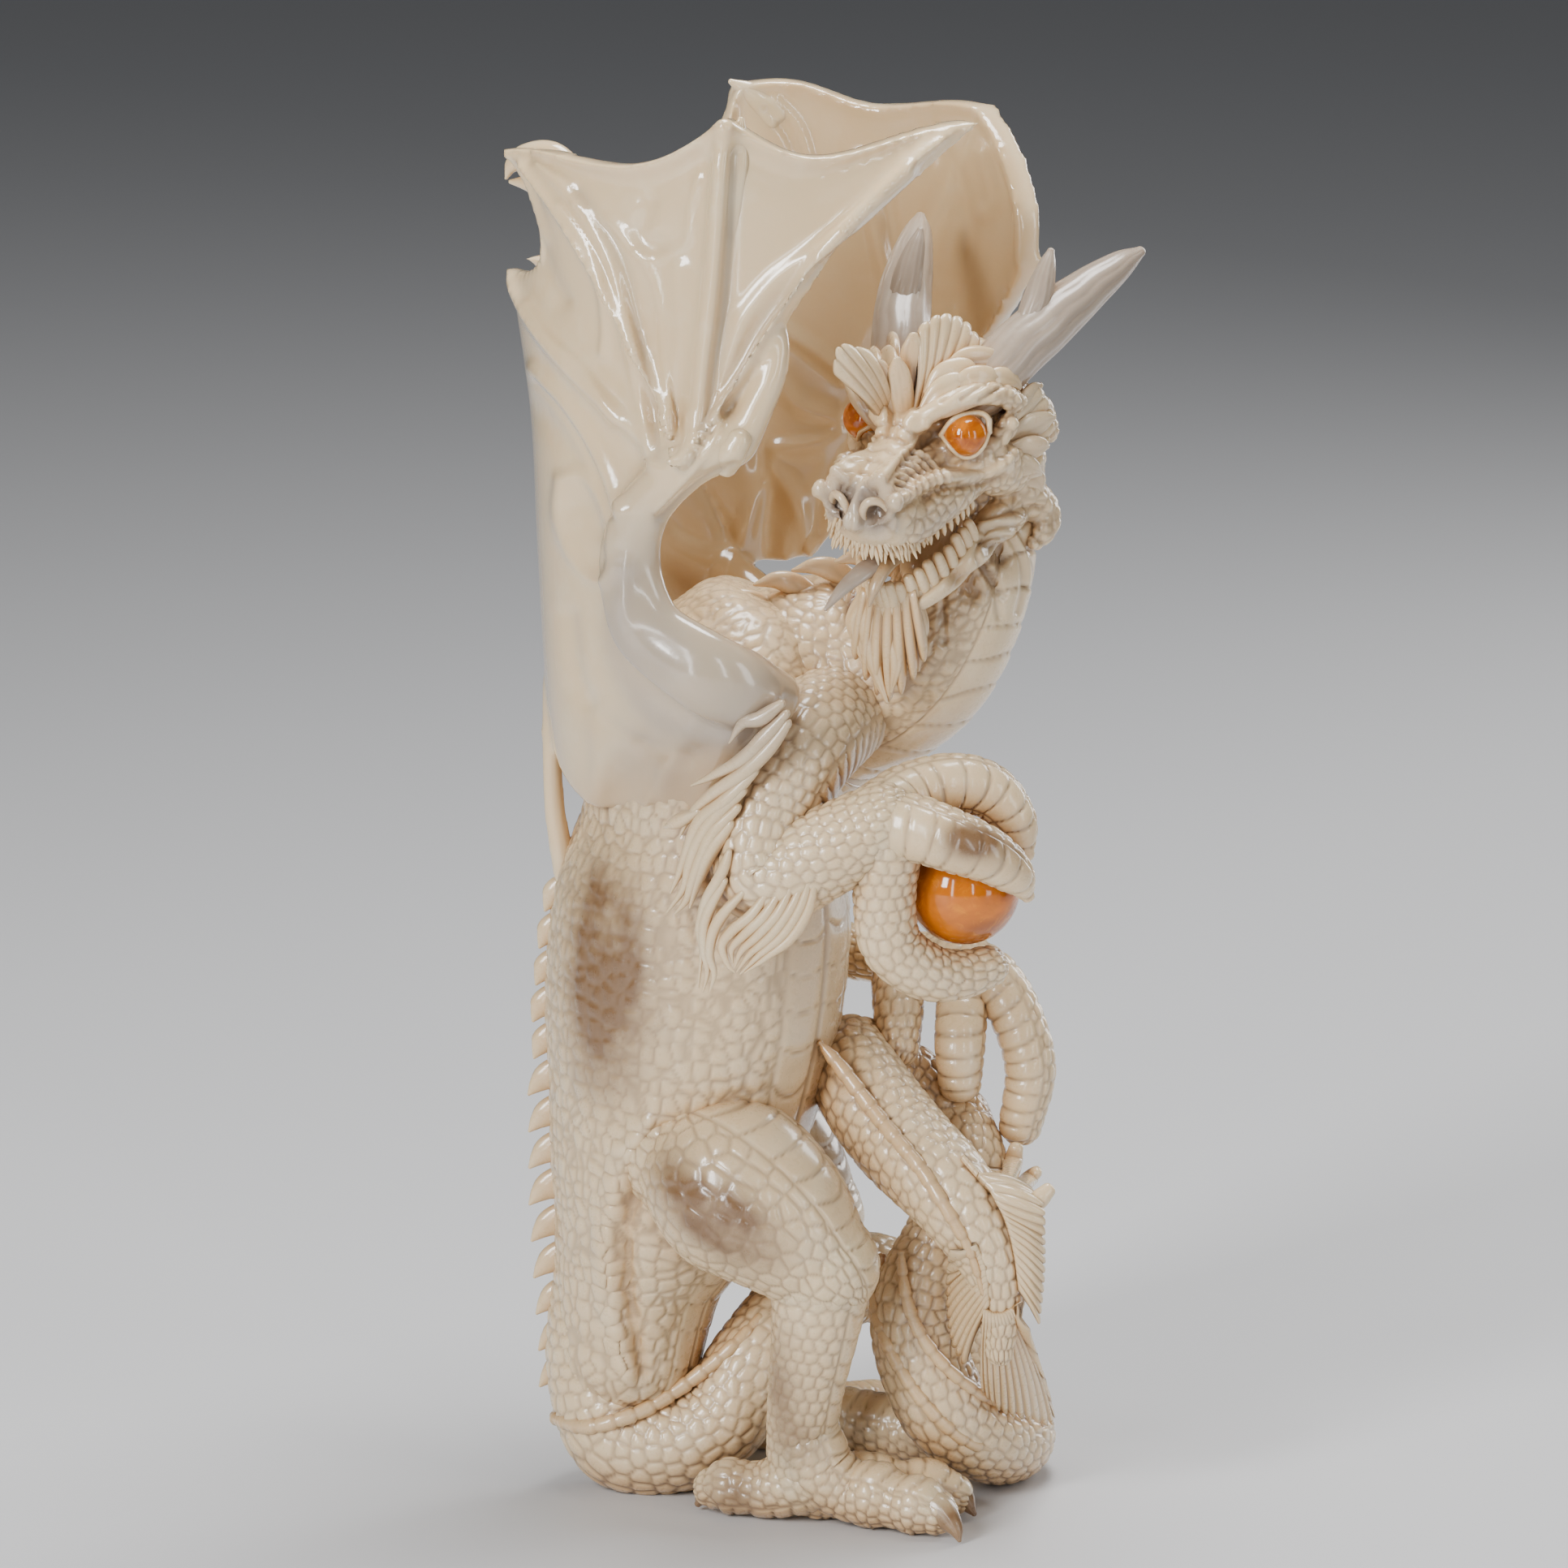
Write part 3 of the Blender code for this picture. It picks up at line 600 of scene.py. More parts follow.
# Tail
tail = {
    "rows": [(-37.5, 0, 44, 15), (-40.5, -1, 27, 13.5), (-37.5, -5, 12.5, 12.5), (-27, -8, 11, 11.4),
        (-17, -9, 16, 10.4), (-9, -6, 28, 10), (2, 4, 38, 10), (16, 17, 40, 9.6), (31, 25, 27, 8.6), (42, 18, 12, 8.2),
        (46, 4, 8.6, 8.8), (40, -9, 11.5, 9.4), (30, -18, 22, 9.8), (24.5, -17, 41, 9.6), (31, -12, 57, 8.6),
        (36.5, -5, 68, 8), (33, 4, 78, 7.8), (22, 6, 87, 7.8), (11, 1, 93, 8.6), (13, -10, 89, 10),
        (21, -20, 80, 10.4), (33, -32, 69.5, 9.4), (41, -37, 56, 6.8), (42, -37, 38, 2.8)],
    "spacing": 0.52, "coilSpacing": 0.58, "split": 16, "relief": {"scale": 3.3, "cut": 0.33, "depth": 0.34, "seed": 5},
}
coil = tube(tail["rows"][:tail["split"] + 1], tail["coilSpacing"], scaly(tail["relief"]))
tailTip = tube(tail["rows"][tail["split"]:], tail["spacing"], scaly(tail["relief"]))
tailSkin = np.vstack([coil[0], tailTip[0]])
addPiece("tailCarving", [coil], ivory)
addPiece("tailTipCarving", [tailTip], ivory)

# Arms and hands
nearArm = {
    "arm": [(9, -14, 171, 11), (-0.5, -31.5, 165.5, 11.8), (-7.5, -40, 152, 10.6), (-7, -43, 141.5, 10.4),
        (4, -45, 146.5, 9.6), (17, -45.5, 153.5, 8.4)],
    "fingers": [[(16, -44, 153.5, 7.8), (23, -38, 157.5, 7), (32, -36, 159.8, 6.2), (39.5, -34.5, 157.5, 5.8),
        (45, -34, 151, 4.4), (47, -34, 144.5, 1.8)],
        [(17, -45, 153, 8), (25, -48.5, 152.5, 7), (33, -50.5, 150, 6.4), (39.5, -49.5, 147, 5.6),
        (44.5, -47, 142.5, 4.2), (47, -44.5, 138, 1.6)],
        [(18, -45.5, 150, 7.8), (17.5, -45, 138, 6.6), (19, -44.5, 127.5, 6.4), (26, -42.5, 121.3, 6),
        (33, -39.5, 119.8, 5.2), (39, -36.5, 120.8, 4.4)]],
    "spacing": 0.5, "relief": {"scale": 3.1, "seed": 7, "strips": [(222, 30, 3.4, 0.35)]},
    "fingerRelief": {"scale": 3, "seed": 8, "strips": [(270, 60, 4.2, 0.3)]},
}
farArm = {
    "arm": [(4, 20, 176, 11), (-2, 34, 160, 10.8), (-7, 41, 140, 10), (-6, 42, 122, 9), (2, 38, 111, 7.2),
        (13, 32, 108, 5.8), (26, 22, 109, 5.8), (35, 14, 110, 6.8)],
    "fingers": [[(34, 13, 110, 7), (41, 7, 108, 6), (46, 3, 101, 5.6), (49, 1, 90, 5.4), (47, 0.5, 78, 4.6)],
        [(35, 12, 109, 6.6), (34.5, 4, 103, 5.6), (34, -1, 96, 5.4), (34, -2, 88, 4.6)],
        [(22, 22, 108, 6), (21, 12, 107, 5.6), (21, 4, 102, 5.4), (21, -1, 95, 4.4)]],
    "spacing": 0.56, "relief": {"scale": 3.1, "seed": 9, "strips": [(0, 30, 4.8, 0.3)]},
    "fingerRelief": {"scale": 3, "seed": 8, "strips": [(285, 78, 3.6, 0.3)]},
}
for name, limb in (("nearArmCarving", nearArm), ("farArmCarving", farArm)):
    shapes = [tube(limb["arm"], limb["spacing"], scaly(limb["relief"]))]
    shapes += [tube(rows, limb["spacing"], scaly(limb["fingerRelief"])) for rows in limb["fingers"][:2]]
    shapes += [tube(rows, limb["spacing"], scaly({**limb["relief"], "strips": []})) for rows in limb["fingers"][2:]]
    addPiece(name, shapes, ivory)

# Legs and feet
nearLeg = {
    "thigh": [(-24, -24, 78, 14), (-14, -32, 73, 18.5), (-4, -36, 66, 16.5), (5, -38, 57, 11.8)],
    "shin": [(5, -38, 58, 11), (3.5, -38, 45, 9.4), (1.5, -36, 31, 8), (0.5, -33, 19, 7.4), (1, -31, 9, 7.8)],
    "toes": [[(2, -33.5, 17, 7.6), (5, -34, 11, 7.4), (11, -35, 7.4, 6.6), (16.5, -37.6, 7.2, 7.2),
        (20.5, -39.6, 6.4, 5.8), (25, -42, 6.2, 6.4), (28.4, -43.6, 5.2, 4.8)],
        [(4, -30, 7, 7), (15, -28.5, 7, 6.8), (21, -28.5, 6.2, 5.6), (27, -28.5, 6.2, 6.2), (32, -29, 5, 4.6)],
        [(1, -32, 9, 7.4), (-6, -30, 6.6, 6.4), (-10.5, -28.6, 6.2, 5.6), (-15, -27, 6.2, 6), (-18, -25.6, 5.4, 4.4)]],
    "claws": [[(26, -43, 6.6, 4, 3.6), (29.6, -45.4, 5.8, 3.6, 3.2), (32.4, -48.4, 3.2, 2, 1.8),
        (33.4, -50, 0.9, 0.5, 0.5)],
        [(30, -29, 6, 4, 3.4), (34, -29.6, 4.6, 3, 2.6), (36.8, -31, 1.2, 0.6, 0.6)],
        [(-15.6, -26.4, 6.2, 4, 3.6), (-19, -25.4, 5, 3.4, 3), (-21.4, -24.6, 1.6, 0.8, 0.8)]],
    "spacing": 0.52,
}
farLeg = {
    "thigh": [(-22, 22, 78, 14), (-14, 27, 71, 17), (-5, 30, 62, 15), (3, 31, 50, 11)],
    "shin": [(3, 31, 52, 10.4), (1, 31, 40, 9), (0, 29, 27, 8), (1, 26, 16, 7.6), (3, 24, 9, 7.8)],
    "toes": [[(2, 23, 7.4, 7.8), (12, 20, 7, 7.4), (22, 16, 6.6, 7), (30, 12, 5.6, 5.8), (35, 10, 1.8, 1.8)],
        [(2, 24, 7.2, 7.2), (11, 30, 6.4, 6.8), (19, 36, 5.6, 5.8), (24, 41, 1.8, 1.8)],
        [(2, 24, 7, 7.2), (-7, 25, 6.2, 6.4), (-14, 27, 5.2, 5.2), (-18.5, 28.5, 1.8, 1.6)]],
    "spacing": 0.6,
}


def clawLook(walk, turn, radius, place):
    # Fine lengthwise lines, brown from the middle on
    line = np.abs(np.sin(turn * 5))
    return 0.12 * (line**0.6 - 1), {"groove": (1 - line)**4 * 0.3, "umber": np.clip(walk / walk.max() * 1.5, 0.15, 0.9)}


legRelief = {
    "thigh": {"scale": 3.9, "cut": 0.34, "depth": 0.36, "swell": 0.12, "jitter": 0.6, "seed": 11,
        "strips": [(202, 24, 5.2, 0.3)]},
    "shin": {"scale": 3.1, "cut": 0.33, "depth": 0.34, "seed": 12, "strips": [(204, 26, 5, 0.3)]},
    "toe": {"scale": 2.9, "seed": 13, "strips": [(200, 44, 3.8, 0.3)]},
}
for name, limb in (("nearLegCarving", nearLeg), ("farLegCarving", farLeg)):
    shapes = [tube(limb["thigh"], limb["spacing"], scaly(legRelief["thigh"])),
              tube(limb["shin"], limb["spacing"], scaly(legRelief["shin"]))]
    shapes += [tube(rows, limb["spacing"], scaly(legRelief["toe"])) for rows in limb["toes"]]
    shapes += [tube(rows, 0.45, clawLook) for rows in limb.get("claws", [])]
    addPiece(name, shapes, ivory)

# Wings: lines of angle, height and radius at the root, the same at the rim, bow, scallop depth and rib radius
nearWingStrokes = [
    # The grey on the grooves of this wing is painted shade
    (2, 1.3, {}, [-12.5, 137.9, -13.7, 122.5, -14.9, 105.4, -16.6, 91.7, -18.3, 76.3, -20.5, 67.7]),
    (1.6, -1, {"grey": 0.35}, [-9.8, 132.7, -11.1, 117.3, -12.5, 100.2, -14.5, 86.6, -16.6, 74.6]),
    (1.4, -0.6, {}, [-16.1, 131, -17.1, 113.9, -18.5, 96.8, -20.2, 79.7]),
    (2, 1.2, {}, [26.3, 128.5, 14.4, 118.2, 5.8, 111.9, -1.9, 106.2, -8.2, 98.5, -11.8, 90, -14.4, 81.4, -17.1, 73.7]),
    (1.4, -0.9, {"grey": 0.35}, [28.1, 126.8, 16.1, 114.8, 6.7, 107.9, -0.2, 102.3, -5.3, 96, -9.6, 87.4,
     -12.5, 78.9]),
    (1.8, 1.3, {}, [-51, 130.2, -45.5, 125, -39.9, 117.3, -35.8, 108.8, -33.4, 98.5, -31.3, 88.3, -29.4, 78,
     -27.4, 67.4]),
    (1.4, -0.8, {"grey": 0.25}, [-43.4, 125, -37.3, 116.5, -33.2, 107.1, -30.8, 96.8, -28.7, 86.6, -27, 76.3,
     -25.8, 68.6]),
    (1.2, 0.8, {}, [-47.2, 121.6, -41.7, 113.9, -38.7, 105.4, -37.6, 96.8, -38, 90.8]),
    (1.3, 0.8, {}, [-42.9, 122.5, -35.8, 117.7, -31, 112.2, -27.5, 107.1, -25.8, 100.2, -25.1, 91.7, -24.8, 79.7,
     -25.3, 69.4]),
    (0.9, 0.55, {}, [-31, 112.2, -27.5, 110.7, -24.1, 111.9, -20.5, 114.3, -19.7, 121.6, -17.8, 128.5]),
    (2.4, 1, {}, [-21.9, 108.8, -21.7, 96.8, -22.8, 88.3, -24.3, 78.9, -25.8, 68.6]),
    (2, -0.9, {}, [-28.4, 122.5, -30.1, 115.6, -26.7, 113.9]),
    (1.7, 1.3, {}, [-53.2, 87.4, -47.2, 81.4, -42.1, 74.6, -37.8, 66.9, -34.6, 57.5]),
    (1, -0.7, {}, [-52, 84.8, -47.2, 79.4, -43.1, 72.9, -39.5, 65.2, -36.6, 56.6]),
    (2.4, -0.9, {}, [-53.2, 79.7, -47.2, 72.9, -42.4, 64.3, -39, 54.1]),
    (1.4, 0.8, {}, [-47.2, 64.3, -43.4, 65.2, -39.9, 60.9, -37.5, 54.1, -36.9, 45.5, -39.3, 42.9, -44.1, 47.2,
     -47.6, 55.8, -47.2, 64.3]),
    (3, -1.2, {}, [-43.4, 58.3, -41.2, 52.3, -40, 47.2]),
    (2.4, -1, {}, [-51.5, 112.2, -49.8, 107.1, -47.2, 102]),
    (1.3, 0.6, {}, [-54.1, 101.1, -48.9, 93.4, -42.9, 88.3, -38.7, 81.4, -36.1, 76.3]),
    (0.8, 0.9, {}, [-27, 57.8, -23.3, 61.8, -19, 66.4, -14.7, 72, -13.3, 76.3]),
    (1.4, -0.9, {"grey": 0.4}, [-25.8, 55.8, -20.7, 60.6, -14.7, 65.2, -10.4, 66.9]),
    (3, 0.9, {"grey": 0.3}, [-33.5, 45.5, -35.2, 30.1, -30.1, 18.1, -19.8, 11.3, -7.9, 10.4]),
    (2.2, -0.8, {}, [-45.5, 35.2, -42.9, 19.8, -33.5, 9.6, -19.8, 5.3]),
    (2.2, 0.7, {}, [-39.5, 14.7, -38.7, 4.4, -39, -5.8]),
    (2, -0.6, {}, [-30.1, 7.9, -28.4, 1, -27.5, -5.8]),
]
farWingStrokes = [
    (1.6, 1.4, {}, [-1.9, 96.8, 5.8, 92, 12.7, 86.6]),
    (2, 1.2, {}, [-1.9, 70.8, 5.8, 71.5, 11.8, 73.7],
     [-1.9, 66.9, 3.3, 57.5, 5.8, 47.2]),
    (2.2, 1.2, {}, [-4.4, 64.3, -10.4, 48.9, -16.4, 33.5]),
    (2, 1, {}, [-1, 84.8, 3.3, 79.7, 10.9, 77.1]),
    (1.2, 0.9, {}, [-1.9, 143.9, 2.4, 139.6, 4.6, 134.5, 5.5, 130.2]),
    (1, -0.7, {}, [-3.6, 142.1, 0.3, 137.9, 2.7, 132.7, 3.3, 129.3]),
    (2, 1.1, {}, [16.1, 131, 18.6, 120.8, 21.2, 108.8, 24.6, 96.8]),
    (1.8, -0.8, {}, [20.4, 127.6, 22.6, 117.3, 24.6, 107.1]),
    (2.4, 1, {}, [42.6, 132.7, 44.3, 124.2, 43.1, 120.4]),
    (2.4, -0.9, {}, [31.5, 136.2, 36.6, 125.9, 38.3, 113.9, 34.9, 102]),
]
nearWing = {
    "side": 1, "strokes": nearWingStrokes,
    "crisp": [[(-14.4, -50.4, 276, 2.6, 2), (-14, -51, 286, 3.2, 2.4), (-13, -51.4, 294, 2.8, 2),
        (-12, -51.4, 300.8, 0.7, 0.5)],
        [(-45, -21, 283, 3, 2), (-51, -17, 287.6, 3.4, 2.4), (-56.6, -13.6, 287.4, 2.8, 2.2),
        (-59.6, -12.4, 285.4, 1.7, 1.4), (-60.8, -12, 283, 0.6, 0.6)],
        [(-46, -21, 277, 2.4), (-51, -17, 280, 2.3), (-55.5, -14, 281.8, 1.9), (-59.8, -12.2, 282, 0.5)],
        [(-15, -52, 229.5, 2.4), (-14, -54.6, 232.4, 3), (-12.4, -55, 235.2, 2.6)]],
    "lines": [(-24, 229, 52, 43, 299, 50, 15, 0.15, 3.2), (-24, 230, 52, -16, 301.5, 53, 0, 0.16, 3),
        (-25, 231, 52, -78, 289, 60, 13, 0.3, 2.8), (-27, 229, 52, -91, 262, 58.4, 3, 0, 2.6),
        (-36, 219, 53, -93, 232, 54.5, 3, 0, 0), (-40, 207, 53, -93, 200, 53, 3, 0, 0),
        (-38, 195, 52, -92, 166, 51, 0, 0, 0), (-28, 187, 51, -66, 152, 47.5, 0, 0.02, 0),
        (-18, 184, 50, -44, 153.5, 45, 0, 0.02, 0), (-12, 182, 48.5, -28, 154, 43.6, 0, 0, 0),
        (-4, 181, 47, -17, 165, 44, 0, 0, 0)],
}
farWing = {
    "side": -1, "strokes": farWingStrokes,
    "crisp": [[(-5, 50.6, 286, 3, 2), (-9.6, 50.4, 291, 2.6, 1.8), (-14.6, 50, 294, 0.6, 0.5)]],
    "lines": [(5, 193, 49, 73, 260, 50, 2, 0, 1.6), (3, 192, 49.6, 71, 274, 50, 3, 0, 0),
        (0, 191, 50, 50, 291, 50, 4, 0, 2.6), (-4, 190, 50, 18, 289.5, 50.6, 2, 0, 0),
        (-8, 190, 51, -15, 293, 52, 0, 0.24, 3), (-14, 190, 51, -82, 263, 54, 13, 0.26, 2.4),
        (-20, 189, 51, -92, 246, 53.4, 3, 0, 1.6), (-24, 188, 51, -93, 226, 53, 3, 0, 0),
        (-28, 188, 51, -93, 200, 52.4, 3, 0, 0), *nearWing["lines"][6:]],
}
wingMake = {
    "wall": 3.83, "grain": 0.8, "rounds": 16, "columns": 24, "rows": 96,
    "arm": [(-5, -40, 178, 6.4, 5), (-12, -45.6, 181.6, 8.4, 6), (-20, -48, 186, 8.6, 5.4), (-31, -44, 194, 7.4, 5),
        (-35, -42, 207, 6.6, 5), (-32, -44.5, 219, 5.6, 5), (-23, -49.6, 229, 5, 5), (-14, -51.5, 234, 5.2, 5.2)],
    "thumb": [(-12.5, -51.5, 234, 4.2), (-9, -51.5, 241, 3.6), (-5.5, -51, 249, 3.2), (-4.5, -50.5, 256, 2.4),
        (-6.5, -50, 262, 1)],
    "seam": [(-51.5, 0, 174, 2.8), (-52, -1, 160, 2.4), (-51.5, -1, 146, 2.4), (-49, -1, 132, 3)],
}


def wingWall(lines, side):
    # A thin wall on the tusk's round: each line runs straight from root to rim in angle, height and radius, bowed up
    # by 4 s (1 - s); between two lines the rim is cut back by 4 t (1 - t), and ribs stand out by a bell curve
    steps = wingMake["columns"]
    line = np.array(lines)
    fan = through(line[:, :7], steps)
    place = np.arange(len(fan)) / steps
    segment = np.minimum(place.astype(int), len(lines) - 1)
    share = place - segment
    hollow = 4 * share * (1 - share)
    depth = line[segment, 7]
    rows = np.linspace(0, 1, wingMake["rows"])[None] * (1 - depth * hollow)[:, None]
    a0, z0, r0, a1, z1, r1, bow = [fan[:, i][:, None] for i in range(7)]
    angle = np.radians(rows * (a1 - a0) + a0)
    height = rows * (z1 - z0) + z0 + bow * 4 * rows * (1 - rows)
    radius = rows * (r1 - r0) + r0 - 2.4 * hollow[:, None] * rows * (depth > 0)[:, None]
    bend = np.zeros_like(radius)
    spread = np.hypot(np.gradient(radius * angle, axis=0), np.gradient(height, axis=0)) * steps
    for number, rib in enumerate(line[:, 8]):
        if rib:
            off = np.abs(place - number)[:, None] * spread / rib
            bend += rib * 1.2 * (1 - 0.35 * rows) * np.exp(-(off / 0.95)**2)
    # The rim is rolled: it swells by a bell curve of the distance to the edge
    depthToRim = (rows[:, -1:] - rows) * np.hypot(z1 - z0, 6)
    roll = 1.5 * np.exp(-(depthToRim / 2.2)**2) - 0.9 * np.exp(-((depthToRim - 5.5) / 2.6)**2)
    roll *= np.clip((a1 + 88) / 8, 0, 1) * np.clip((z1 - 190) / 60, 0, 1)

    def skin(offset):
        r = radius + offset
        return np.stack([r * np.sin(angle), -r * np.cos(angle) * side, height], axis=-1)

    outer = skin(wingMake["wall"] / 2 + bend + roll)
    inner = skin(-wingMake["wall"] / 2 + bend * 0.5 - np.maximum(roll, 0) * 0.6)
    ring = np.concatenate([outer, inner[:, ::-1]], axis=1)
    return closedGrid(capped(ring), {})


def makeWing(name, wing, extras):
    # Wall, arm and extras grow into one skin that is tinted warm inside the tusk's round as painted shade; crisp tips
    # stay as they are
    side = wing["side"]
    arm = [(x, y * side, z, wide, deep) for x, y, z, wide, deep in wingMake["arm"]]
    shapes = [wingWall(wing["lines"], side), tube(arm, 1.2, up=(0, -side, 0))] + extras
    points, faces, _normals = merged(shapes, wingMake["grain"], wingMake["rounds"])
    reach = np.hypot(points[:, 0], points[:, 1])
    # Painted shade: the shell's inner face is tinted warm
    inside = np.clip((51 - reach) / 3, 0, 1)
    shapes = [(points, faces, {"warm": inside * 0.9})] + [tube(rows, 0.6) for rows in wing["crisp"]]
    addPiece(name, shapes, polishedIvory, strokes=wing["strokes"])


makeWing("nearWingCarving", nearWing, [tube(wingMake["thumb"], 1.0), tube(wingMake["seam"], 1.0)])
makeWing("farWingCarving", farWing, [])

# Head: forms in the head's own frame, as snout, left, crown and one or two radii
head = {
    "centre": (24, -27, 232.5), "snout": (-0.47, -0.77, -0.43), "left": (0.85, -0.485, -0.06), "grain": 0.46,
    "rounds": 3, "eye": (0.2, 12, 1),
    "middle": [[(-22, 0, -6, 12.5, 12), (-10, 0, -5, 14, 12.5), (0, 0, -6.8, 12.2, 11.4), (8, 0, -6.6, 10.2, 10),
        (15, 0, -5.9, 9.4, 9.2), (20.5, 0, -5.4, 9.8, 8.6)],
        [(-6, 0, 4.6, 4.4, 3.6), (1, 0, 3.6, 4.6, 3.2), (8, 0, 1.6, 4.8, 2.8), (15, 0, 1, 4.6, 2.6),
        (20, 0, 0.6, 4, 2.3)],
        [(-14, 0, -25, 9), (-2, 0, -28, 6), (8, 0, -29.5, 4.4)]],
    "sides": [[(9, 2.4, 4.6, 1.4), (5, 4, 6, 2), (1, 8.4, 8, 2.2), (-4, 12.5, 8.2, 2.4), (-9, 15.4, 5.6, 2.6),
        (-13, 17, 1.2, 2.4)],
        [(-2, 9, -6, 6.4), (-8, 11.8, -11, 7.5), (-17, 9, -17, 8.5), (-20, 6, -26, 8)],
        [(24, 5.6, -4.6, 1.6), (20.4, 7, -3.4, 1.8), (16.5, 8.2, -2.6, 1.8), (12.5, 9.8, -3, 1.8), (7, 11, -5.2, 1.8),
        (2, 12.8, -8.2, 1.9), (-4, 14.6, -9.6, 2), (-10, 16.4, -11.6, 2)],
        [(-8, 9, -10, 6.5), (4, 9, -9.5, 5.6), (12, 7.8, -9.6, 5.2), (18, 6, -9.8, 5), (22, 4.4, -8.6, 4.4)],
        [(-16, 10, -24, 7), (-8, 11.6, -25, 5), (2, 11.8, -25.4, 3.7), (9, 10.6, -26.2, 3.2), (15, 8.6, -27.2, 3),
        (20, 5.4, -28.2, 2.8), (23, 0.6, -28.8, 2.8)],
        [(14, 2.6, 1.4, 1.8), (19, 3.6, 2.2, 2.6), (23, 4.2, 2, 2.9), (26.2, 4.4, 0, 2.2)],
        [(25.2, 7.2, 0, 1.4), (27.4, 5.6, -3.6, 1.5), (27.6, 2.4, -4.6, 1.5), (28.4, 0.6, -3.4, 1.5)],
        [(3, 9, -1, 2.2), (1, 12, -4.6, 2.1), (-4, 15, -4.4, 2.2), (-9, 16.8, -1.6, 2.4)],
        [(-17, 12, -2, 5), (-21, 15.5, -6, 4), (-22, 17, -12, 3)],
        [(-14, 13, -22, 5), (-17, 15.5, -29, 4), (-15, 17, -32, 3.2), (-11, 16.5, -33, 2)]],
    # Where the head is scaled, ridged, grey or warm: low, high and softness along snout, crown and side
    "zones": {"lips": ((-18, 24), (-17, 4, 1.5), (3.8, 30, 1.2)), "ridge": ((-12, 25),),
        "nape": ((-48, -4, 3), (-40, 16, 2)), "muzzle": ((8, 24, 4), (-16, -6, 3), (4, 20, 2)),
        "jaw": ((-2, 22, 3), (-24, -18, 2))},
    # Place, reach and depth of the hollows that are pressed in and darkened umber as painted shade
    "hollows": [(26.6, 4.2, -1.6, 1.7, 3), (5, 7.6, -1, 2.6, 1), (10, 6.6, -2.4, 2.6, 1), (-1, 13.2, -29.5, 3, 1.4),
        (8, 12.4, -31, 2.6, 1.4), (-15, 18, -31, 2, 1.3)],
    "horn": [(-12, 10, 3.4, 5.65), (-20, 13, 7, 6.2), (-30, 17, 9.5, 5.9), (-40, 20.5, 11, 4.85),
        (-50, 24, 11.8, 3.15), (-55.6, 26.2, 12, 1.2)],
    "prong": [(-25, 15, 10, 3.4), (-31, 15.5, 15.5, 3.1), (-36, 15.5, 19.5, 2), (-38.6, 15.5, 21.6, 0.8)],
}
snoutWay = np.array(head["snout"]) / np.linalg.norm(head["snout"])
leftWay = np.array(head["left"]) / np.linalg.norm(head["left"])
crownWay = np.cross(snoutWay, leftWay)
crownWay /= np.linalg.norm(crownWay)
headAxes = np.array([snoutWay, leftWay, crownWay])
headMiddle = np.array(head["centre"])


def onHead(rows, side=1):
    # Head rows in the figure's frame, mirrored over the head's middle for side -1
    rows = np.asarray(rows, float)
    points = headMiddle + (rows[:, :3] * (1, side, 1)) @ headAxes
    return np.hstack([points, rows[:, 3:]])


def onEye(rows, side=1, far=1):
    # Rows round the eye as seen from the front: right, up, out and radius from the eye's middle, laid on the head
    rows = np.asarray(rows, float)
    seen = np.array([(-0.470, 0.867, -0.166), (-0.581, -0.163, 0.797), (0.664, 0.471, 0.58)])
    return onHead(np.hstack([np.array(head["eye"]) * (1, far, 1) + rows[:, :3] @ seen, rows[:, 3:]]), side)


def headWay(snout, left, crown, side=1):
    # A direction of the head's frame in the figure's frame
    return tuple(np.array((snout, left * side, crown)) @ headAxes)


def locks(look):
    # Lengthwise grooves: the height is the power 0.6 of a rectified sine of the turn, less one
    look = {"line": 0.5, "warm": 0.1, "grey": 0, "umber": 0, **look}

    def relief(walk, turn, radius, place):
        wave = np.abs(np.sin(turn * look["count"] / 2 + 0.3 * np.sin(walk * 0.6)))
        fade = np.clip(1.15 - (walk / walk.max())**2, 0, 1)
        masks = {key: np.full_like(wave, look[key]) for key in ("warm", "grey", "umber")}
        return look["depth"] * (wave**0.6 - 1) * fade, {"groove": (1 - wave)**3 * look["line"], **masks}
    return relief


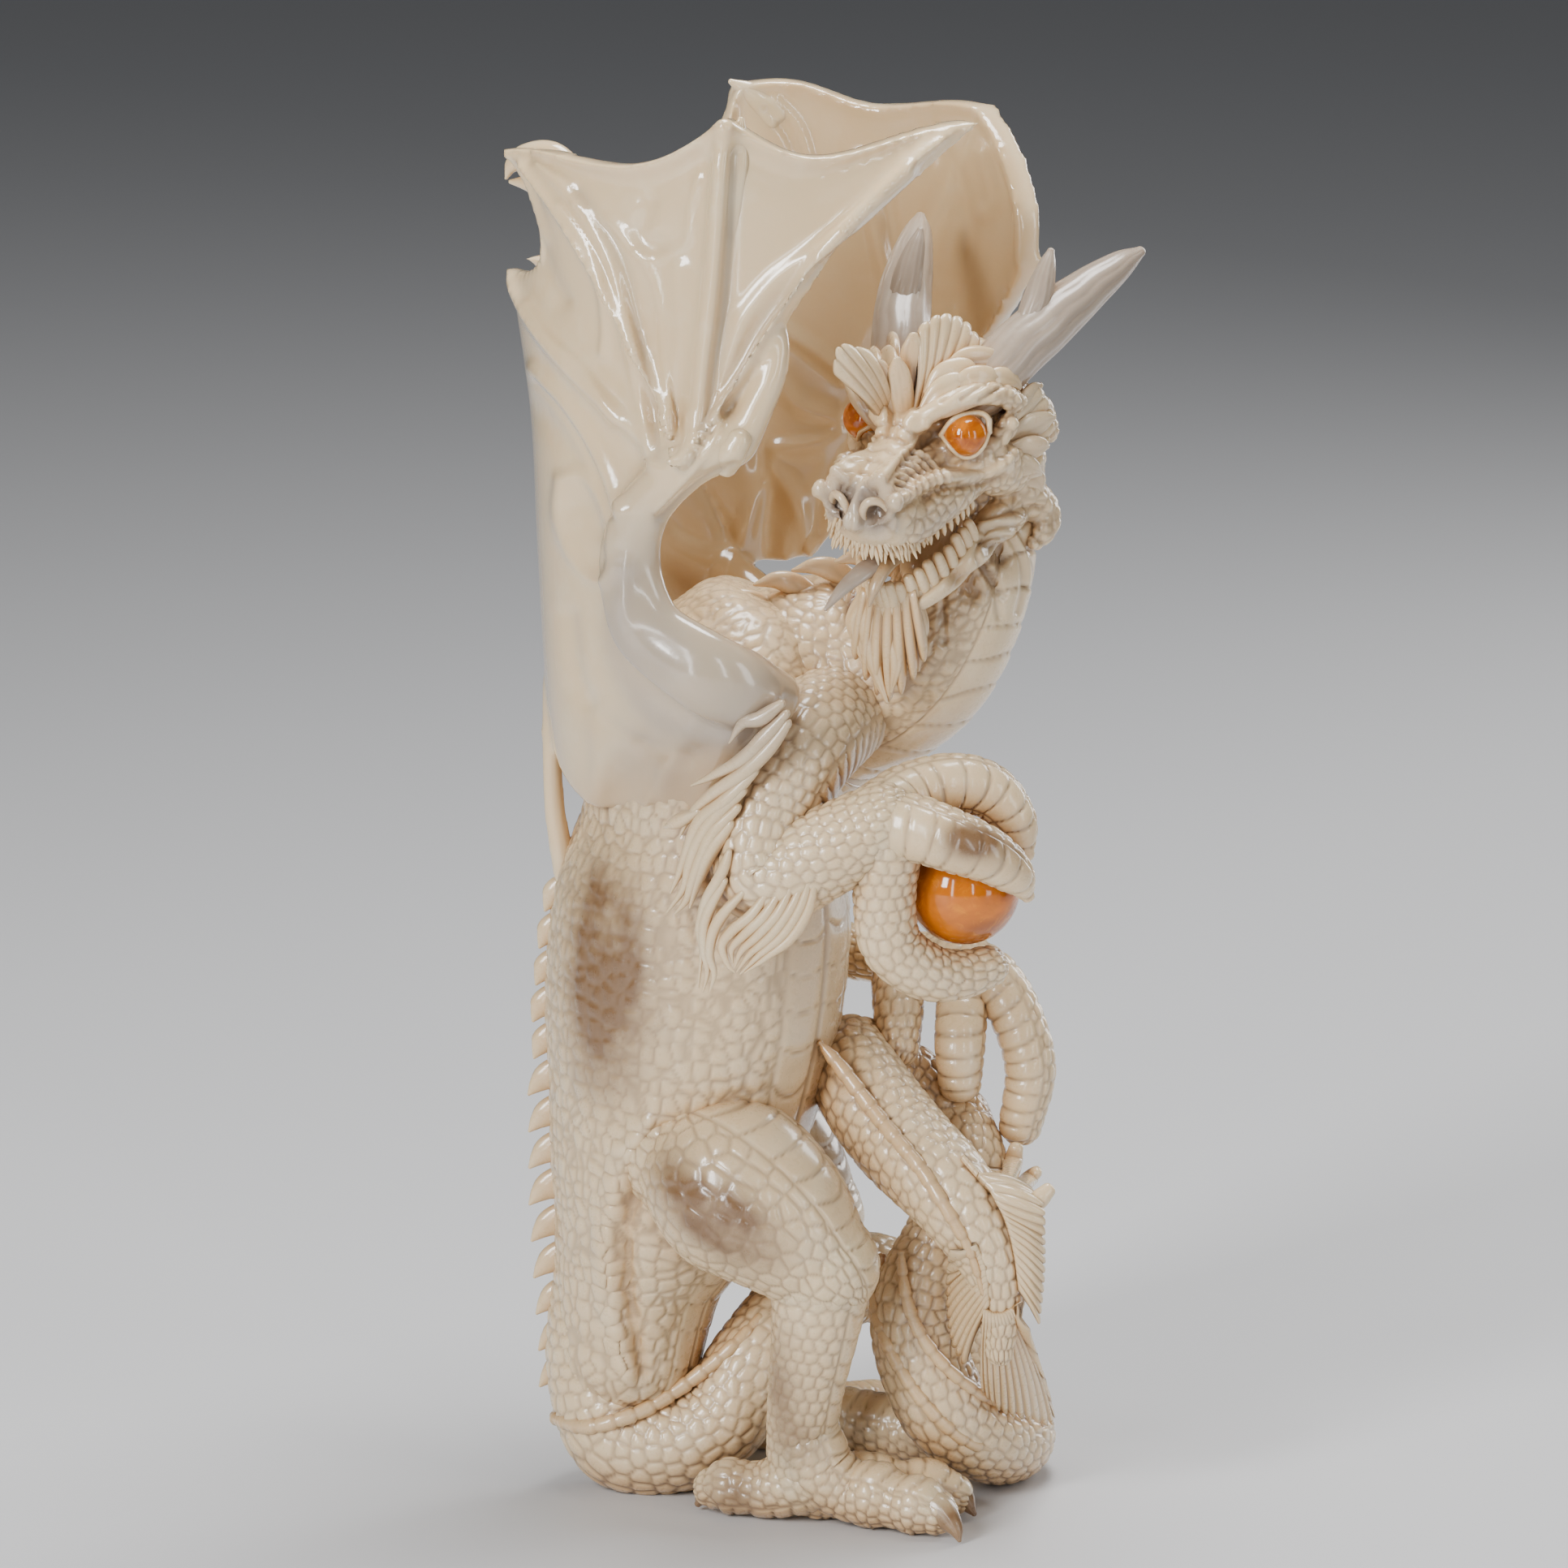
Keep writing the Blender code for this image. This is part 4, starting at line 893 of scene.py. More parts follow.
def carveSkull(points, normals):
    # Scales on lips and nape but not along the lip's ridge, hollows pressed in by bell curves and darkened umber as
    # painted shade, grey nostrils and lips, a warm jaw, and skin drawn back round the eyeballs, all in the head's frame
    local = (points - headMiddle) @ headAxes.T
    s, l, c = local[:, 0], np.abs(local[:, 1]), local[:, 2]
    edge = cells3(local, 2.5, 0.8, 4)
    zones = {}
    for name, spans in head["zones"].items():
        zones[name] = 1.0
        for value, span in zip((s, c, l), spans):
            zones[name] = zones[name] * window(value, *span)
    ridge = np.exp(-((c + 3.2 + 0.02 * (s - 14)**2 * (s < 14)) / 1.6)**2) * zones["ridge"]
    scales = np.clip(zones["lips"] * (1 - 0.8 * ridge) + zones["nape"] * 0.8, 0, 1)
    cut = np.exp(-(edge / 0.26)**2)
    points = points + normals * (scales * (0.22 * np.minimum(edge, 1) - 0.26 * cut))[:, None]
    umber = np.zeros(len(points))
    for spot in head["hollows"]:
        gap = np.sqrt((s - spot[0])**2 + (l - spot[1])**2 + (c - spot[2])**2)
        press = np.exp(-(gap / spot[3])**2)
        points = points - normals * (press * spot[4])[:, None]
        # Painted shade: each pressed hollow, the nostril among them, is darkened umber
        umber += press * 0.8
    grey = 0.75 * np.exp(-(((s - 26)**2 + (l - 3)**2 + (c + 3)**2) / 30)) * (local[:, 1] > -8)
    grey += 0.4 * zones["muzzle"]
    masks = {"groove": scales * cut, "grey": grey, "umber": umber, "warm": zones["jaw"] * (l < 11) * 0.8}
    for side in (1, -1):
        middle = onHead([head["eye"]], side)[0, :3]
        off = points - middle
        gap = np.linalg.norm(off, axis=1)
        pull = np.clip((6.6 - gap) / 2.2, 0, 1)
        facing = off @ (headAxes.T @ np.array((0.45, 0.75 * side, 0.25))) > -1.5
        wanted = np.minimum(gap, 3.6 + 0.18 * gap)
        points = points - off / np.maximum(gap, 0.1)[:, None] * ((gap - wanted) * pull * facing)[:, None]
    return points, {key: np.clip(value, 0, 1) for key, value in masks.items()}


# Arcs beside the eye in the front view, by turns a groove and a ridge
arcs = [
    [26.3, 60.5, 26, 61.7, 25.1, 62.6, 23.9, 63.1],
    [27.1, 60.7, 26.6, 62.1, 25.5, 63.2, 24.2, 63.8],
    [27.9, 60.6, 27.3, 62.4, 26, 63.9, 24.2, 64.6],
    [28.6, 60.9, 28, 62.8, 26.4, 64.5, 24.5, 65.3],
    [29.4, 60.7, 28.6, 63.2, 26.9, 65.1, 24.5, 66.1],
    [30.1, 61.2, 29.3, 63.6, 27.3, 65.7, 24.8, 66.8],
    [30.9, 60.9, 30, 64, 27.8, 66.4, 24.7, 67.6],
    [31.7, 61.4, 30.6, 64.4, 28.2, 67, 25.2, 68.3],
    [32.5, 61, 31.3, 64.7, 28.6, 67.6, 25, 69.1],
    [33.2, 61.6, 32, 65.1, 29.1, 68.3, 25.5, 69.8],
    [34, 61.1, 32.6, 65.5, 29.5, 68.9, 25.3, 70.7],
    [34.7, 61.8, 33.3, 65.9, 30, 69.5, 25.8, 71.3],
]
headStrokes = [(0.5, 0.35, {}, arc) if number % 2 else (0.4, -0.45, {"groove": 0.35}, arc)
               for number, arc in enumerate(arcs)]
# The umber, grey and warm tints on the hollows below are painted shade: the near nostril, the corner before the eye and
# the hollows under the jaw
headStrokes += [
    (0.45, -0.6, {"groove": 0.6}, [14.4, 69.1, 16.1, 67.1, 18.8, 64.8],
     [16.4, 71.2, 18.5, 69.1, 21.2, 67.2],
     [18.6, 73.2, 20.9, 71.2, 23.4, 69.4],
     [20.9, 75.3, 23.1, 73.2, 25.7, 71.5],
     [22.9, 77, 25.1, 75.1, 27.7, 73.6]),
    (1, 0.9, {}, [13.2, 64.7, 17.8, 69.4, 22.9, 74.9, 27.2, 78],
     [20.5, 64.3, 23.8, 68.4, 27.7, 72.5, 30.1, 75.6]),
    (0.6, -0.7, {"groove": 0.4}, [21.9, 63.3, 25, 67.7, 28.7, 71.5, 31.5, 73.7]),
    (1.3, 1.5, {}, [22.8, 59.2, 25.5, 60.6, 28.9, 62.9, 32.3, 64.5, 37.5, 65, 41.7, 65.7, 45.5, 67.1, 48.2, 69.4]),
    (0.7, -0.8, {"groove": 0.5}, [23.4, 57.1, 27.2, 59.5, 31.1, 61.9, 35.2, 62.8, 40.9, 63.1, 46.5, 64.8]),
    (2.3, -3, {"umber": 0.55, "grey": 0.9}, [18.1, 60.6, 19.2, 57.8, 19.7, 54.9]),
    (1, 1.1, {"grey": 0.3}, [15.1, 54.1, 15.4, 59.5, 17.1, 62.9, 20.2, 64, 22.4, 61.2, 23.1, 57.1, 22.9, 54.1]),
    (1.6, -1.4, {"umber": 0.7}, [29.8, 72.7, 32.5, 73.6]),
    (0.5, -0.7, {"groove": 0.4}, [31.5, 82.8, 34, 85.5, 37.6, 86.9],
     [33.2, 80.6, 36.6, 83.5, 40.9, 85.7],
     [37.5, 81.1, 40.9, 83.5, 44.5, 85.7],
     [41.4, 80.7, 44.5, 82.8, 47.2, 84.8]),
    (0.6, -0.8, {"groove": 0.4}, [40.9, 55.8, 46, 57.1, 50.6, 58.3, 54.6, 58.3],
     [41.7, 53.7, 46.9, 54.4, 51.3, 53.2, 54.6, 51],
     [41.1, 51.7, 46.2, 52, 49.9, 49.6, 51.7, 46.4]),
    (0.8, 0.6, {}, [41.4, 54.7, 46.5, 55.8, 51, 55.8, 55.1, 54.7]),
    (0.6, -0.8, {"groove": 0.4}, [42.6, 53.2, 40.7, 48.9, 42.4, 44.6],
     [40, 53.2, 35.9, 47.2, 31.5, 41.7, 26, 38]),
    (2, -1.6, {"umber": 0.7}, [43.1, 51, 46, 47.6]),
    (2.3, -1.3, {"umber": 0.35, "warm": 0.8}, [36.6, 44.1, 39.7, 40.7]),
    (0.5, -0.5, {"groove": 0.4}, [33.2, 67.4, 36.6, 67.1, 40.9, 68.1],
     [34.9, 66, 39.2, 65.9, 43.8, 67.4]),
]
# Forms on the middle and on both sides grow into one skull, which is then drawn on and carved
headShapes = [tube(onHead(rows), 0.8, up=headWay(0, 0, 1)) for rows in head["middle"]]
headShapes += [tube(onHead(rows, side), 0.8) for rows in head["sides"] for side in (1, -1)]
points, faces, normals = merged(headShapes, head["grain"], head["rounds"])
# The far side takes its strokes as the near side's mirror image
farSide = ((points - headMiddle) @ headAxes.T)[:, 1:2] < 0
nearPoints, nearNormals = [
    np.where(farSide, ((array - shift) @ headAxes.T) * (1, -1, 1) @ headAxes + shift, array)
    for array, shift in ((points, headMiddle), (normals, 0))]
extra = {}
moved = drawn(nearPoints, nearNormals, extra, headStrokes) - nearPoints
lift = np.linalg.norm(moved, axis=1) * np.sign((moved * nearNormals).sum(1))
points, masks = carveSkull(points + normals * lift[:, None], normals)
masks = {key: np.clip(masks.get(key, 0) + extra.get(key, 0), 0, 1) for key in {*masks, *extra}}
addPiece("headCarving", [(points, faces, masks)], ivory)

# What grooved leaves and locks look like: how many grooves, how deep, and their tints
leafLook = {
    "crest": {"count": 12, "depth": 0.2, "warm": 0.15}, "feather": {"count": 4, "depth": 0.35, "warm": 0.2},
    "frill": {"count": 4, "depth": 0.4, "grey": 0.25}, "beard": {"count": 6, "depth": 0.4, "warm": 0.4},
    # The palate's umber is painted shade in the mouth
    "tongue": {"count": 0, "depth": 0, "grey": 1}, "palate": {"count": 2, "depth": 0.3, "umber": 0.55},
    "horn": {"count": 12, "depth": 0.3, "line": 0.35, "warm": 0, "grey": 0.4},
    "nostril": {"count": 0, "depth": 0.001, "line": 0, "grey": 0.35}, "fin": {"count": 2, "depth": 0.25, "warm": 0.12},
}
# Leaves on the head: their look, the way their thickness lies, whether both sides have them, and their rows
leaves = [
    ("nostril", (0, 1, 0), 1, [(26.8, 1.7, -5.4, 0.5), (27.6, 1.8, -1.6, 0.8), (27, 3.2, 0.8, 0.9),
     (25.8, 5.4, 0.4, 0.9), (25.2, 6.8, -2.2, 0.8), (25, 6.6, -6, 0.4)]),
    ("crest", (0.66, 0.47, 0.2), 0, [(3, -0.6, 3.5, 2, 1.2), (1.6, -0.8, 9, 2.6, 1.1), (0.8, -1, 14.6, 2.4, 0.9),
     (0.5, -1, 18, 0.9, 0.5)],
     [(0, 0.4, 4.5, 2.4, 1.3), (-2.4, 0, 10, 3, 1.2), (-4.6, 0, 16.4, 2.8, 1), (-5.8, 0, 20, 1, 0.5)]),
    ("crest", (0.66, 0.3, 0.58), 0, [(3, -3, 6, 2, 1.2), (2.4, -4, 11, 3, 1.1), (2.6, -5, 16, 2.6, 0.9),
     (3.4, -5.6, 19, 0.9, 0.5)]),
    ("feather", (0.3, 0.5, 0.8), 1, [(2, 4.4, 7.4, 1.4, 0.8), (-1.4, 6.6, 9.8, 2.6, 1), (-4.4, 9, 10.8, 2.2, 0.9),
     (-5.6, 11, 9.4, 0.8, 0.5)],
     [(-1, 4.4, 8.8, 1.8, 0.9), (-4.6, 6.6, 11.6, 3, 1.1), (-8, 9.4, 11.8, 2.4, 0.9), (-9, 11.6, 10, 0.8, 0.5)]),
    ("feather", (0.3, 0.7, 0.6), 1, [(-3, 8.8, 9.2, 1.6, 0.9), (-6.6, 11.4, 10.4, 2.6, 1.1),
     (-9.6, 13.8, 9.4, 2.2, 0.9), (-10.8, 15.4, 7.2, 0.8, 0.5)]),
    ("feather", (0.3, 0.8, 0.4), 1, [(-8, 12.8, 8.4, 1.6, 0.9), (-11.4, 15, 8, 2.4, 1.1), (-14.2, 16.6, 5.8, 2, 0.9),
     (-15, 17.2, 3.4, 0.7, 0.5)],
     [(-6, 6.4, 10, 2.4, 1), (-10, 8.4, 11.8, 3, 1.2), (-14, 11.4, 10.6, 2.4, 1), (-16.4, 14, 8, 0.8, 0.5)]),
    ("frill", (0.5, 0.8, 0), 1, [(-9, 15, -4, 2.4, 1.3), (-14, 17.6, -1, 3.2, 1.1), (-18, 18.6, 0.6, 2.4, 0.9),
     (-20.4, 19, 0.8, 0.6, 0.5)],
     [(-8, 15, -6, 2.4, 1.3), (-13, 18.4, -5.4, 3.4, 1.1), (-17, 20.6, -5.6, 2.4, 0.9), (-19, 21.6, -6, 0.6, 0.5)],
     [(-7, 15.6, -8, 2.2, 1.3), (-10.6, 19, -8.8, 3.2, 1.1), (-13.6, 20.8, -9.8, 2.2, 0.9),
     (-15, 21.4, -10.6, 0.6, 0.5)],
     [(-6.6, 15.6, -9.6, 2, 1.2), (-8.6, 18.6, -11.4, 2.8, 1.1), (-10.4, 20, -13, 1.8, 0.9),
     (-11.4, 20.4, -14.4, 0.6, 0.5)],
     [(-9, 15.6, -12.6, 2, 1.2), (-12, 18.4, -15, 2.4, 1.1), (-14, 19, -17.4, 0.6, 0.5)],
     [(-11, 15, -16, 2, 1.2), (-14, 17.6, -19, 2.4, 1.1), (-15, 18, -22.4, 0.6, 0.5)]),
    ("tongue", (0, 0, 1), 0, [(12, 0, -19.6, 3.2, 1.7), (20, 0, -18.4, 3, 1.6), (27, -0.6, -17, 2.6, 1.5),
     (33, -2.6, -17.6, 1.7, 1.2), (38.6, -4.4, -19.6, 0.4, 0.4)]),
    ("palate", (0, 0, 1), 0, [(16, 2.4, -19, 2, 1.4), (24, 2.6, -17.4, 1.9, 1.3), (29, 2.4, -18.8, 1.5, 1.1),
     (32, 2, -22, 0.4, 0.4)]),
    ("beard", (1, 0, 0.3), 0, [(22, -1.4, -26, 2.6, 2), (25.4, -3.6, -31, 3, 2), (27.4, -3, -37, 2.6, 1.7),
     (29.4, -1, -44, 1.2, 1), (30.6, 0.6, -48, 0.4, 0.4)],
     [(22, 1.4, -27, 2.4, 1.9), (24.6, 1.2, -33, 2.6, 1.8), (27.6, 2.6, -39.6, 1.8, 1.4), (29.4, 1.4, -46, 0.4, 0.4)],
     [(20.6, 4, -27, 2.4, 1.8), (21.6, 6.2, -33, 2.2, 1.7), (22.8, 5.4, -38.6, 1.4, 1.1), (24.6, 5.8, -43, 0.4, 0.4)],
     [(23, -3.6, -26, 2.2, 1.8), (26.6, -6, -31, 2, 1.5), (27.8, -5.6, -36, 1.1, 0.9), (29, -4.4, -40, 0.4, 0.4)]),
]
# Lids lie on a sphere round the eye's middle
lidLines = [[(-5, 0), (-2.2, 3.3), (2.4, 4.5), (4.6, 3.4), (4.9, 0.6)],
    [(-5, 0), (-3.2, -2.6), (-1, -4.5), (1.4, -4.5), (3.6, -2.6), (4.9, 0.6)]]
lids = [[(u, v, math.sqrt(max(4.7**2 - u * u - v * v, 0.3)) - 0.3, 0.5 if number else 0.65) for u, v in line]
        for number, line in enumerate(lidLines)]
# Fans of the crest: rays, thickness, depth, bulge, and the lines of their feet and of their tips
crestFans = [
    (6, 1.9, 0.26, 1.6, [(2, 0.4, 4), (-1, 2, 7), (-4, 4, 9), (-8, 7, 8)],
     [(-7.6, 0.4, 21), (-13.4, 2.6, 20.6), (-17.8, 5, 16.6), (-19, 7.4, 11)]),
    (4, 1.8, 0.26, 1.6, [(6.4, -4.6, 7), (4.4, -4.2, 7.6), (2.4, -3.6, 8)],
     [(13, -8.8, 21.6), (9.6, -8, 26.4), (2.6, -5.4, 21)]),
    (6, 1.6, 0.3, 0.8, [(-6, 14, -2), (-8, 14.6, -7), (-7, 14.4, -12)],
     [(-19.4, 19.4, 1.6), (-19.6, 21.4, -7), (-11, 20.6, -14.4)]),
]
crisp = [tube(onHead(rows, side), 0.42, locks(leafLook[leaf[0]]), up=headWay(*leaf[1], side))
         for leaf in leaves for rows in leaf[3:] for side in ((1, -1) if leaf[2] else (1,))]
crisp += [tube(onEye(rows, side), 0.45) for rows in lids for side in (1, -1)]
crisp += [fan(onHead(feet), onHead(tips), count, thick, depth, bulge, 0.05, 7, 0.1)
          for count, thick, depth, bulge, feet, tips in crestFans]
farBrow = [(-3.2, 7.4, 1, 1.3), (-1.6, 4.4, 3.2, 1.9), (0.4, 1.6, 4, 2), (2.6, -1.2, 3.6, 1.8), (4.6, -3.4, 2, 1.2)]
beardFan = [[(20, 6, -25), (22.4, 1, -26), (22.4, -5, -25)],
            [(22.4, 8.4, -39), (26.6, 5, -45), (29.6, 0.6, -48.6), (29.4, -4, -45), (28, -8, -37)]]
crisp.append(tube(onEye(farBrow, 1, -1), 0.42, locks(leafLook["frill"])))
crisp.append(fan(*map(onHead, beardFan), 7, 4, 1.1, 1.6, 0.3, 9, 0.5))

# Teeth stand along the lower jaw, small ones hang from the upper lip, and stiff hairs from the muzzle's edge
gum = [(4, 11.4, -21.6), (9, 10.6, -23), (15, 8.8, -24.4), (20, 6, -25.6), (23.4, 2.6, -26.4), (24.2, 0, -26.6)]
upperLip = [(3, 12.2, -14.2), (8, 11.2, -14.4), (13.6, 9.4, -14.4), (18.6, 7.2, -14.4), (22.6, 4.4, -13.6)]
hairEdge = [(17.5, 8.4, -12.4), (22, 7.4, -12.2), (25.4, 5, -11.4), (27.6, 1.4, -10.4), (27.6, -2.6, -9.8),
    (25.8, -6.6, -9.6), (22, -9, -9.4), (17, -9.8, -9.4)]


def rays(rows, count, length, radius, way, side=1, start=0, tip=0.35):
    # A row of short tapered rods, each from its foot on the line along the way, with lengths that vary a little
    made = []
    dense = through(rows)
    for number, foot in enumerate(dense[np.linspace(0, len(dense) - 1, count).round().astype(int)]):
        size = length * (0.8 + 0.4 * noise01(number, start, 3.0))
        direction = np.array(way(number, foot))
        rod = [(*(foot - direction * 0.7), radius), (*(foot + direction * size * 0.5), radius * 0.95),
               (*(foot + direction * size), radius * tip)]
        made.append(tube(onHead(rod, side), 0.4))
    return made


for side in (1, -1):
    crisp += rays(gum, 12, 3.2, 1.5, lambda k, foot: (0.1, -0.05, 1.0), side=side, tip=0.8)
    crisp += rays(upperLip, 13, 1.9, 0.6, lambda k, foot: (0.1, 0.05, -1.0), side=side, start=3)
for layer, lift in enumerate((-0.2, 1.2, 2.6, 4.0)):
    lifted = np.array(hairEdge) + (0.15 * layer - 0.5, 0, lift)
    crisp += rays(lifted, 32 - layer * 3, 3.3, 0.5,
                  lambda k, foot: (0.3 - 0.1 * layer, 0.05 * foot[1] + 0.4 * (noise01(k, layer, 1) - 0.5), -0.9),
                  start=layer)
addPiece("headTrimCarving", crisp, ivory)
for name, node, side in (("hornLeftCarving", "horn_left", 1), ("hornRightCarving", "horn_right", -1)):
    shapes = [tube(onHead(head[key], side), 0.45, locks(leafLook["horn"])) for key in ("horn", "prong")]
    addPiece(name, shapes, hornBone, node)

# Fins, manes and ridges
# Locks and fin lines as paths in the front view, each a row of right and high, right and high
shoulderLocks = [
    [-0.7, 16.8, -4.8, 13.9, -8.7, 12.7, -11.5, 8.7],
    [0.3, 14.7, -3.6, 10.4, -8.7, 5.3, -14.7, 1.9, -19.5, -0.3],
    [0.7, 12.7, -3.6, 7, -9.2, 1.9, -15.1, -2.1, -19.5, -6.3, -21.9, -10.9],
    [-6.2, 2.7, -12.1, -3.3, -17.1, -7.2, -19.8, -12.7, -21.9, -18.6, -23.9, -22.9],
    [-8.7, -1.5, -13.9, -6.2, -17.4, -10.9, -19.7, -16.9, -21.2, -22.1, -24.6, -27],
    [-9.9, -5, -14.4, -9.6, -16.8, -14.4, -18.8, -19.8, -20.5, -24.3, -22.8, -27.2],
    [-11.3, -8.4, -14.7, -13, -16.8, -16.9, -18.5, -21.6, -19.8, -26],
    [-18.1, -5.8, -22.4, -7.9, -25.3, -9.2],
]
elbowLocks = [
    [-11.6, -14.4, -12.5, -17.1, -14, -20.4, -16.4, -24.6, -17.8, -30.1, -17.4, -35.2, -18, -42.8],
    [-12.5, -20.4, -15.1, -25, -16.8, -29.8, -16.8, -34.9, -16.1, -39.3, -17.1, -43.8],
    [-8.7, -22.9, -12.5, -27, -14.9, -31.1, -15.7, -35.8, -14.7, -40, -15.7, -43.8],
    [-3.1, -22.1, -7, -27.7, -10.9, -30.8, -13, -34, -11.8, -38, -10.4, -39.7],
    [-0.7, -22.1, -4.1, -27.7, -8.2, -31.5, -10.9, -34.6, -10.8, -37.6],
    [1.5, -21.6, -1.4, -27.4, -5.5, -31.8, -8.9, -35.2, -10.4, -38.7],
    [3.8, -20.9, 1, -27, -3.1, -32.2, -7.2, -35.9, -9.9, -39.5],
    [5.5, -19.5, 3.3, -26.3, -0.7, -32.2, -5.5, -36.3, -9.2, -40],
    [6.5, -20.4, 4.8, -27.2, 1, -32.8, -3.8, -36.6, -8.2, -39.7],
]
# Leaves over the shoulders, and ridges along the tail with the warmth of their tint
backLeaves = [
    [(-13, -3, 186), (-16.5, -4, 187.4), (-20, -5, 187.2), (-23.6, -5.6, 185.2)],
    [(-5, -3, 189), (-9, -4, 191.4), (-13.4, -5, 192.8), (-18, -5.6, 191.8)],
    [(3.6, -3, 192.6), (-0.6, -4, 195.2), (-4.8, -5, 196.6), (-9.4, -5.6, 195.8)],
    [(12, -3, 196), (7.6, -4, 198.4), (3.4, -5, 199.6), (-1.4, -5.6, 198.8)],
    [(20, -5, 198.6), (16, -6, 201), (12, -7, 202), (7.6, -7.6, 201)],
]
ridges = [
    ([(-52.3, -2, 14.5, 1), (-51.2, -6.9, 15, 1.5), (-45.6, -14.6, 15.6, 1.7), (-38.7, -16.8, 17.6, 1.7),
     (-31.8, -15.6, 20.2, 1.7), (-23.2, -13.6, 25.4, 1.7), (-14.6, -13.2, 32.4, 1.6), (-8.4, -9.5, 38, 1.2)], 0.5),
    ([(4.5, -20, 100.4, 0.8), (8.4, -21.6, 96, 1.7), (16.1, -27.6, 87, 1.8), (24.6, -36, 78.4, 1.7),
     (30.4, -41, 70.4, 1.5), (35.5, -42.8, 61.5, 1.2), (38.5, -42.4, 52, 0.6)], 0.7),
    ([(17.4, -12, 52, 1), (16, -18.5, 44.5, 1.4), (18.8, -24.8, 35.8, 1.5), (26.5, -27.9, 24.2, 1.5),
     (35.6, -24, 15, 1.5), (44, -16, 11.8, 1.3), (52, -5, 10, 0.8)], 0.4),
    ([(21.4, -23.6, 55.7, 0.9), (22.3, -25.8, 47.9, 1.3), (25.2, -27.6, 39.9, 1.4), (31.6, -27.4, 31.5, 1.4),
     (39.9, -21.4, 23.9, 1.3), (48.2, -10, 18.4, 0.8)], 0.3),
]
# Each fin's foot line on the tail, then its edge
finLines = [
    [37.5, -78.5, 42.6, -84.8, 46.2, -91.3, 48.2, -98.2, 49.4, -106.7],
    [47.9, -81.4, 54.4, -87.9, 55.1, -96.5, 54.9, -105, 53.9, -114.3],
    [42.1, -110.5, 44.1, -111.5, 46.2, -111.5, 48.2, -110.5, 49.9, -109.1],
    [41.4, -127.6, 45.5, -132.1, 51.7, -134.1, 57.1, -133.8, 51.7, -115.3],
    [40.5, -96.5, 42.6, -103, 43.2, -110],
    [34.6, -98.5, 34.2, -105.5, 34.4, -112, 35.4, -118, 38, -122.8],
]
spineLines = [
    [46.9, -84.8, 48.1, -80.4, 48.9, -76.6],
    [48.9, -86.6, 51.3, -83.5, 53.2, -81.8],
    [51, -90, 53.7, -87.6, 55.8, -85.5],
]


def scutes(pitch, warmth):
    # Overlapping plates along a ridge: a saw of the walk on its outer side, with a cut at every step
    def relief(walk, turn, radius, place):
        share = np.mod(walk / pitch, 1)
        line = np.minimum(share, 1 - share) * pitch
        cut = np.exp(-(line / 0.4)**2)
        return 0.3 * (share - 0.6) - 0.14 * cut, {"groove": cut * 0.5, "warm": np.full_like(share, warmth)}
    return relief


def tapered(points, radius):
    # A lock along the points, widest near its first third and run out to a fine end
    shares = [i / (len(points) - 1) for i in range(len(points))]
    return [(*point, radius * (0.75 + 0.5 * math.sin(math.pi * share**0.7)) * (1 - 0.75 * share**3))
            for point, share in zip(points, shares)]


# A row of small blades runs down the back, where the torso's rows end behind
trim = []
levels = np.array(torso["rows"])[:1:-1]
for height in range(128, 22, -8):
    x, reach = np.interp(height, levels[:, 2], levels[:, 0]), np.interp(height, levels[:, 2], levels[:, 3])
    foot = x - reach
    tall = 3.8 if height < 92 else 2.4
    trim.append(tube([(foot + 3, 0, height + 1.5, 4, 1.7), (foot, 0, height + 0.4, 3.2, 1.5),
                      (foot - tall * 0.5, 0, height - 1.2, 2.1, 1.1), (foot - tall, 0, height - 3.4, 0.4, 0.3)], 0.5,
                     locks(leafLook["fin"])))
for rows in backLeaves:
    sized = [(*place, wide, deep) for place, wide, deep in zip(rows, (1.6, 1.7, 1.3, 0.4), (1.6, 2.5, 1.9, 0.4))]
    trim.append(tube(sized, 0.42, locks(leafLook["fin"]), up=(0, 0, 1)))
for paths, reach, thick in ((shoulderLocks, 51, 1.5), (elbowLocks, 53, 1.15)):
    trim += [tube(tapered(onRound(path, reach), thick), 0.42, locks(leafLook["fin"])) for path in paths]
for rows, warmth in ridges:
    trim.append(tube(rows, 0.5, scutes(4.4, warmth)))
addPiece("maneCarving", trim, ivory)

# Leaves with rays between a line on the tail and the line of the fin's edge
fins = [fan(onSkin(foot, tailSkin, -0.1), onSkin(edge, tailSkin, lift), count, 1.3, 0.5, bulge, warm=0.2)
        for foot, edge, (count, bulge, lift) in zip(finLines[::2], finLines[1::2],
                                                    ((17, 1.4, 1.2), (15, 1.6, 1.6), (11, 1.2, 1.2)))]
for rows in spineLines:
    points = onSkin(rows, tailSkin, 0.2)
    fins.append(tube([(*points[0], 1.6, 1.3), (*points[1], 2.1, 1.5), (*points[2], 1.6, 1.2)], 0.42))
addPiece("finCarving", fins, ivory)

# Inlaid amber: smooth spheres in the place and size of the solids
for name, node, finish in (("ballPolished", "ball", amber), ("eyeLeftPolished", "eye_left", eyeAmber),
                           ("eyeRightPolished", "eye_right", eyeAmber)):
    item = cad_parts[node]
    corners = (np.array([item.matrix_world @ vertex.co for vertex in item.data.vertices]) - origin) / unit
    middle, radius = (corners.min(0) + corners.max(0)) / 2, np.ptp(corners, axis=0).max() / 2
    height = np.linspace(0.02, math.pi - 0.02, 49)[:, None]
    turn = np.linspace(0, 2 * math.pi, 96, endpoint=False)
    level = np.sin(height)
    globe = np.stack(np.broadcast_arrays(level * np.cos(turn), level * np.sin(turn), np.cos(height)), axis=-1)
    addPiece(name, [closedGrid(middle + globe * radius, {})], finish, node)

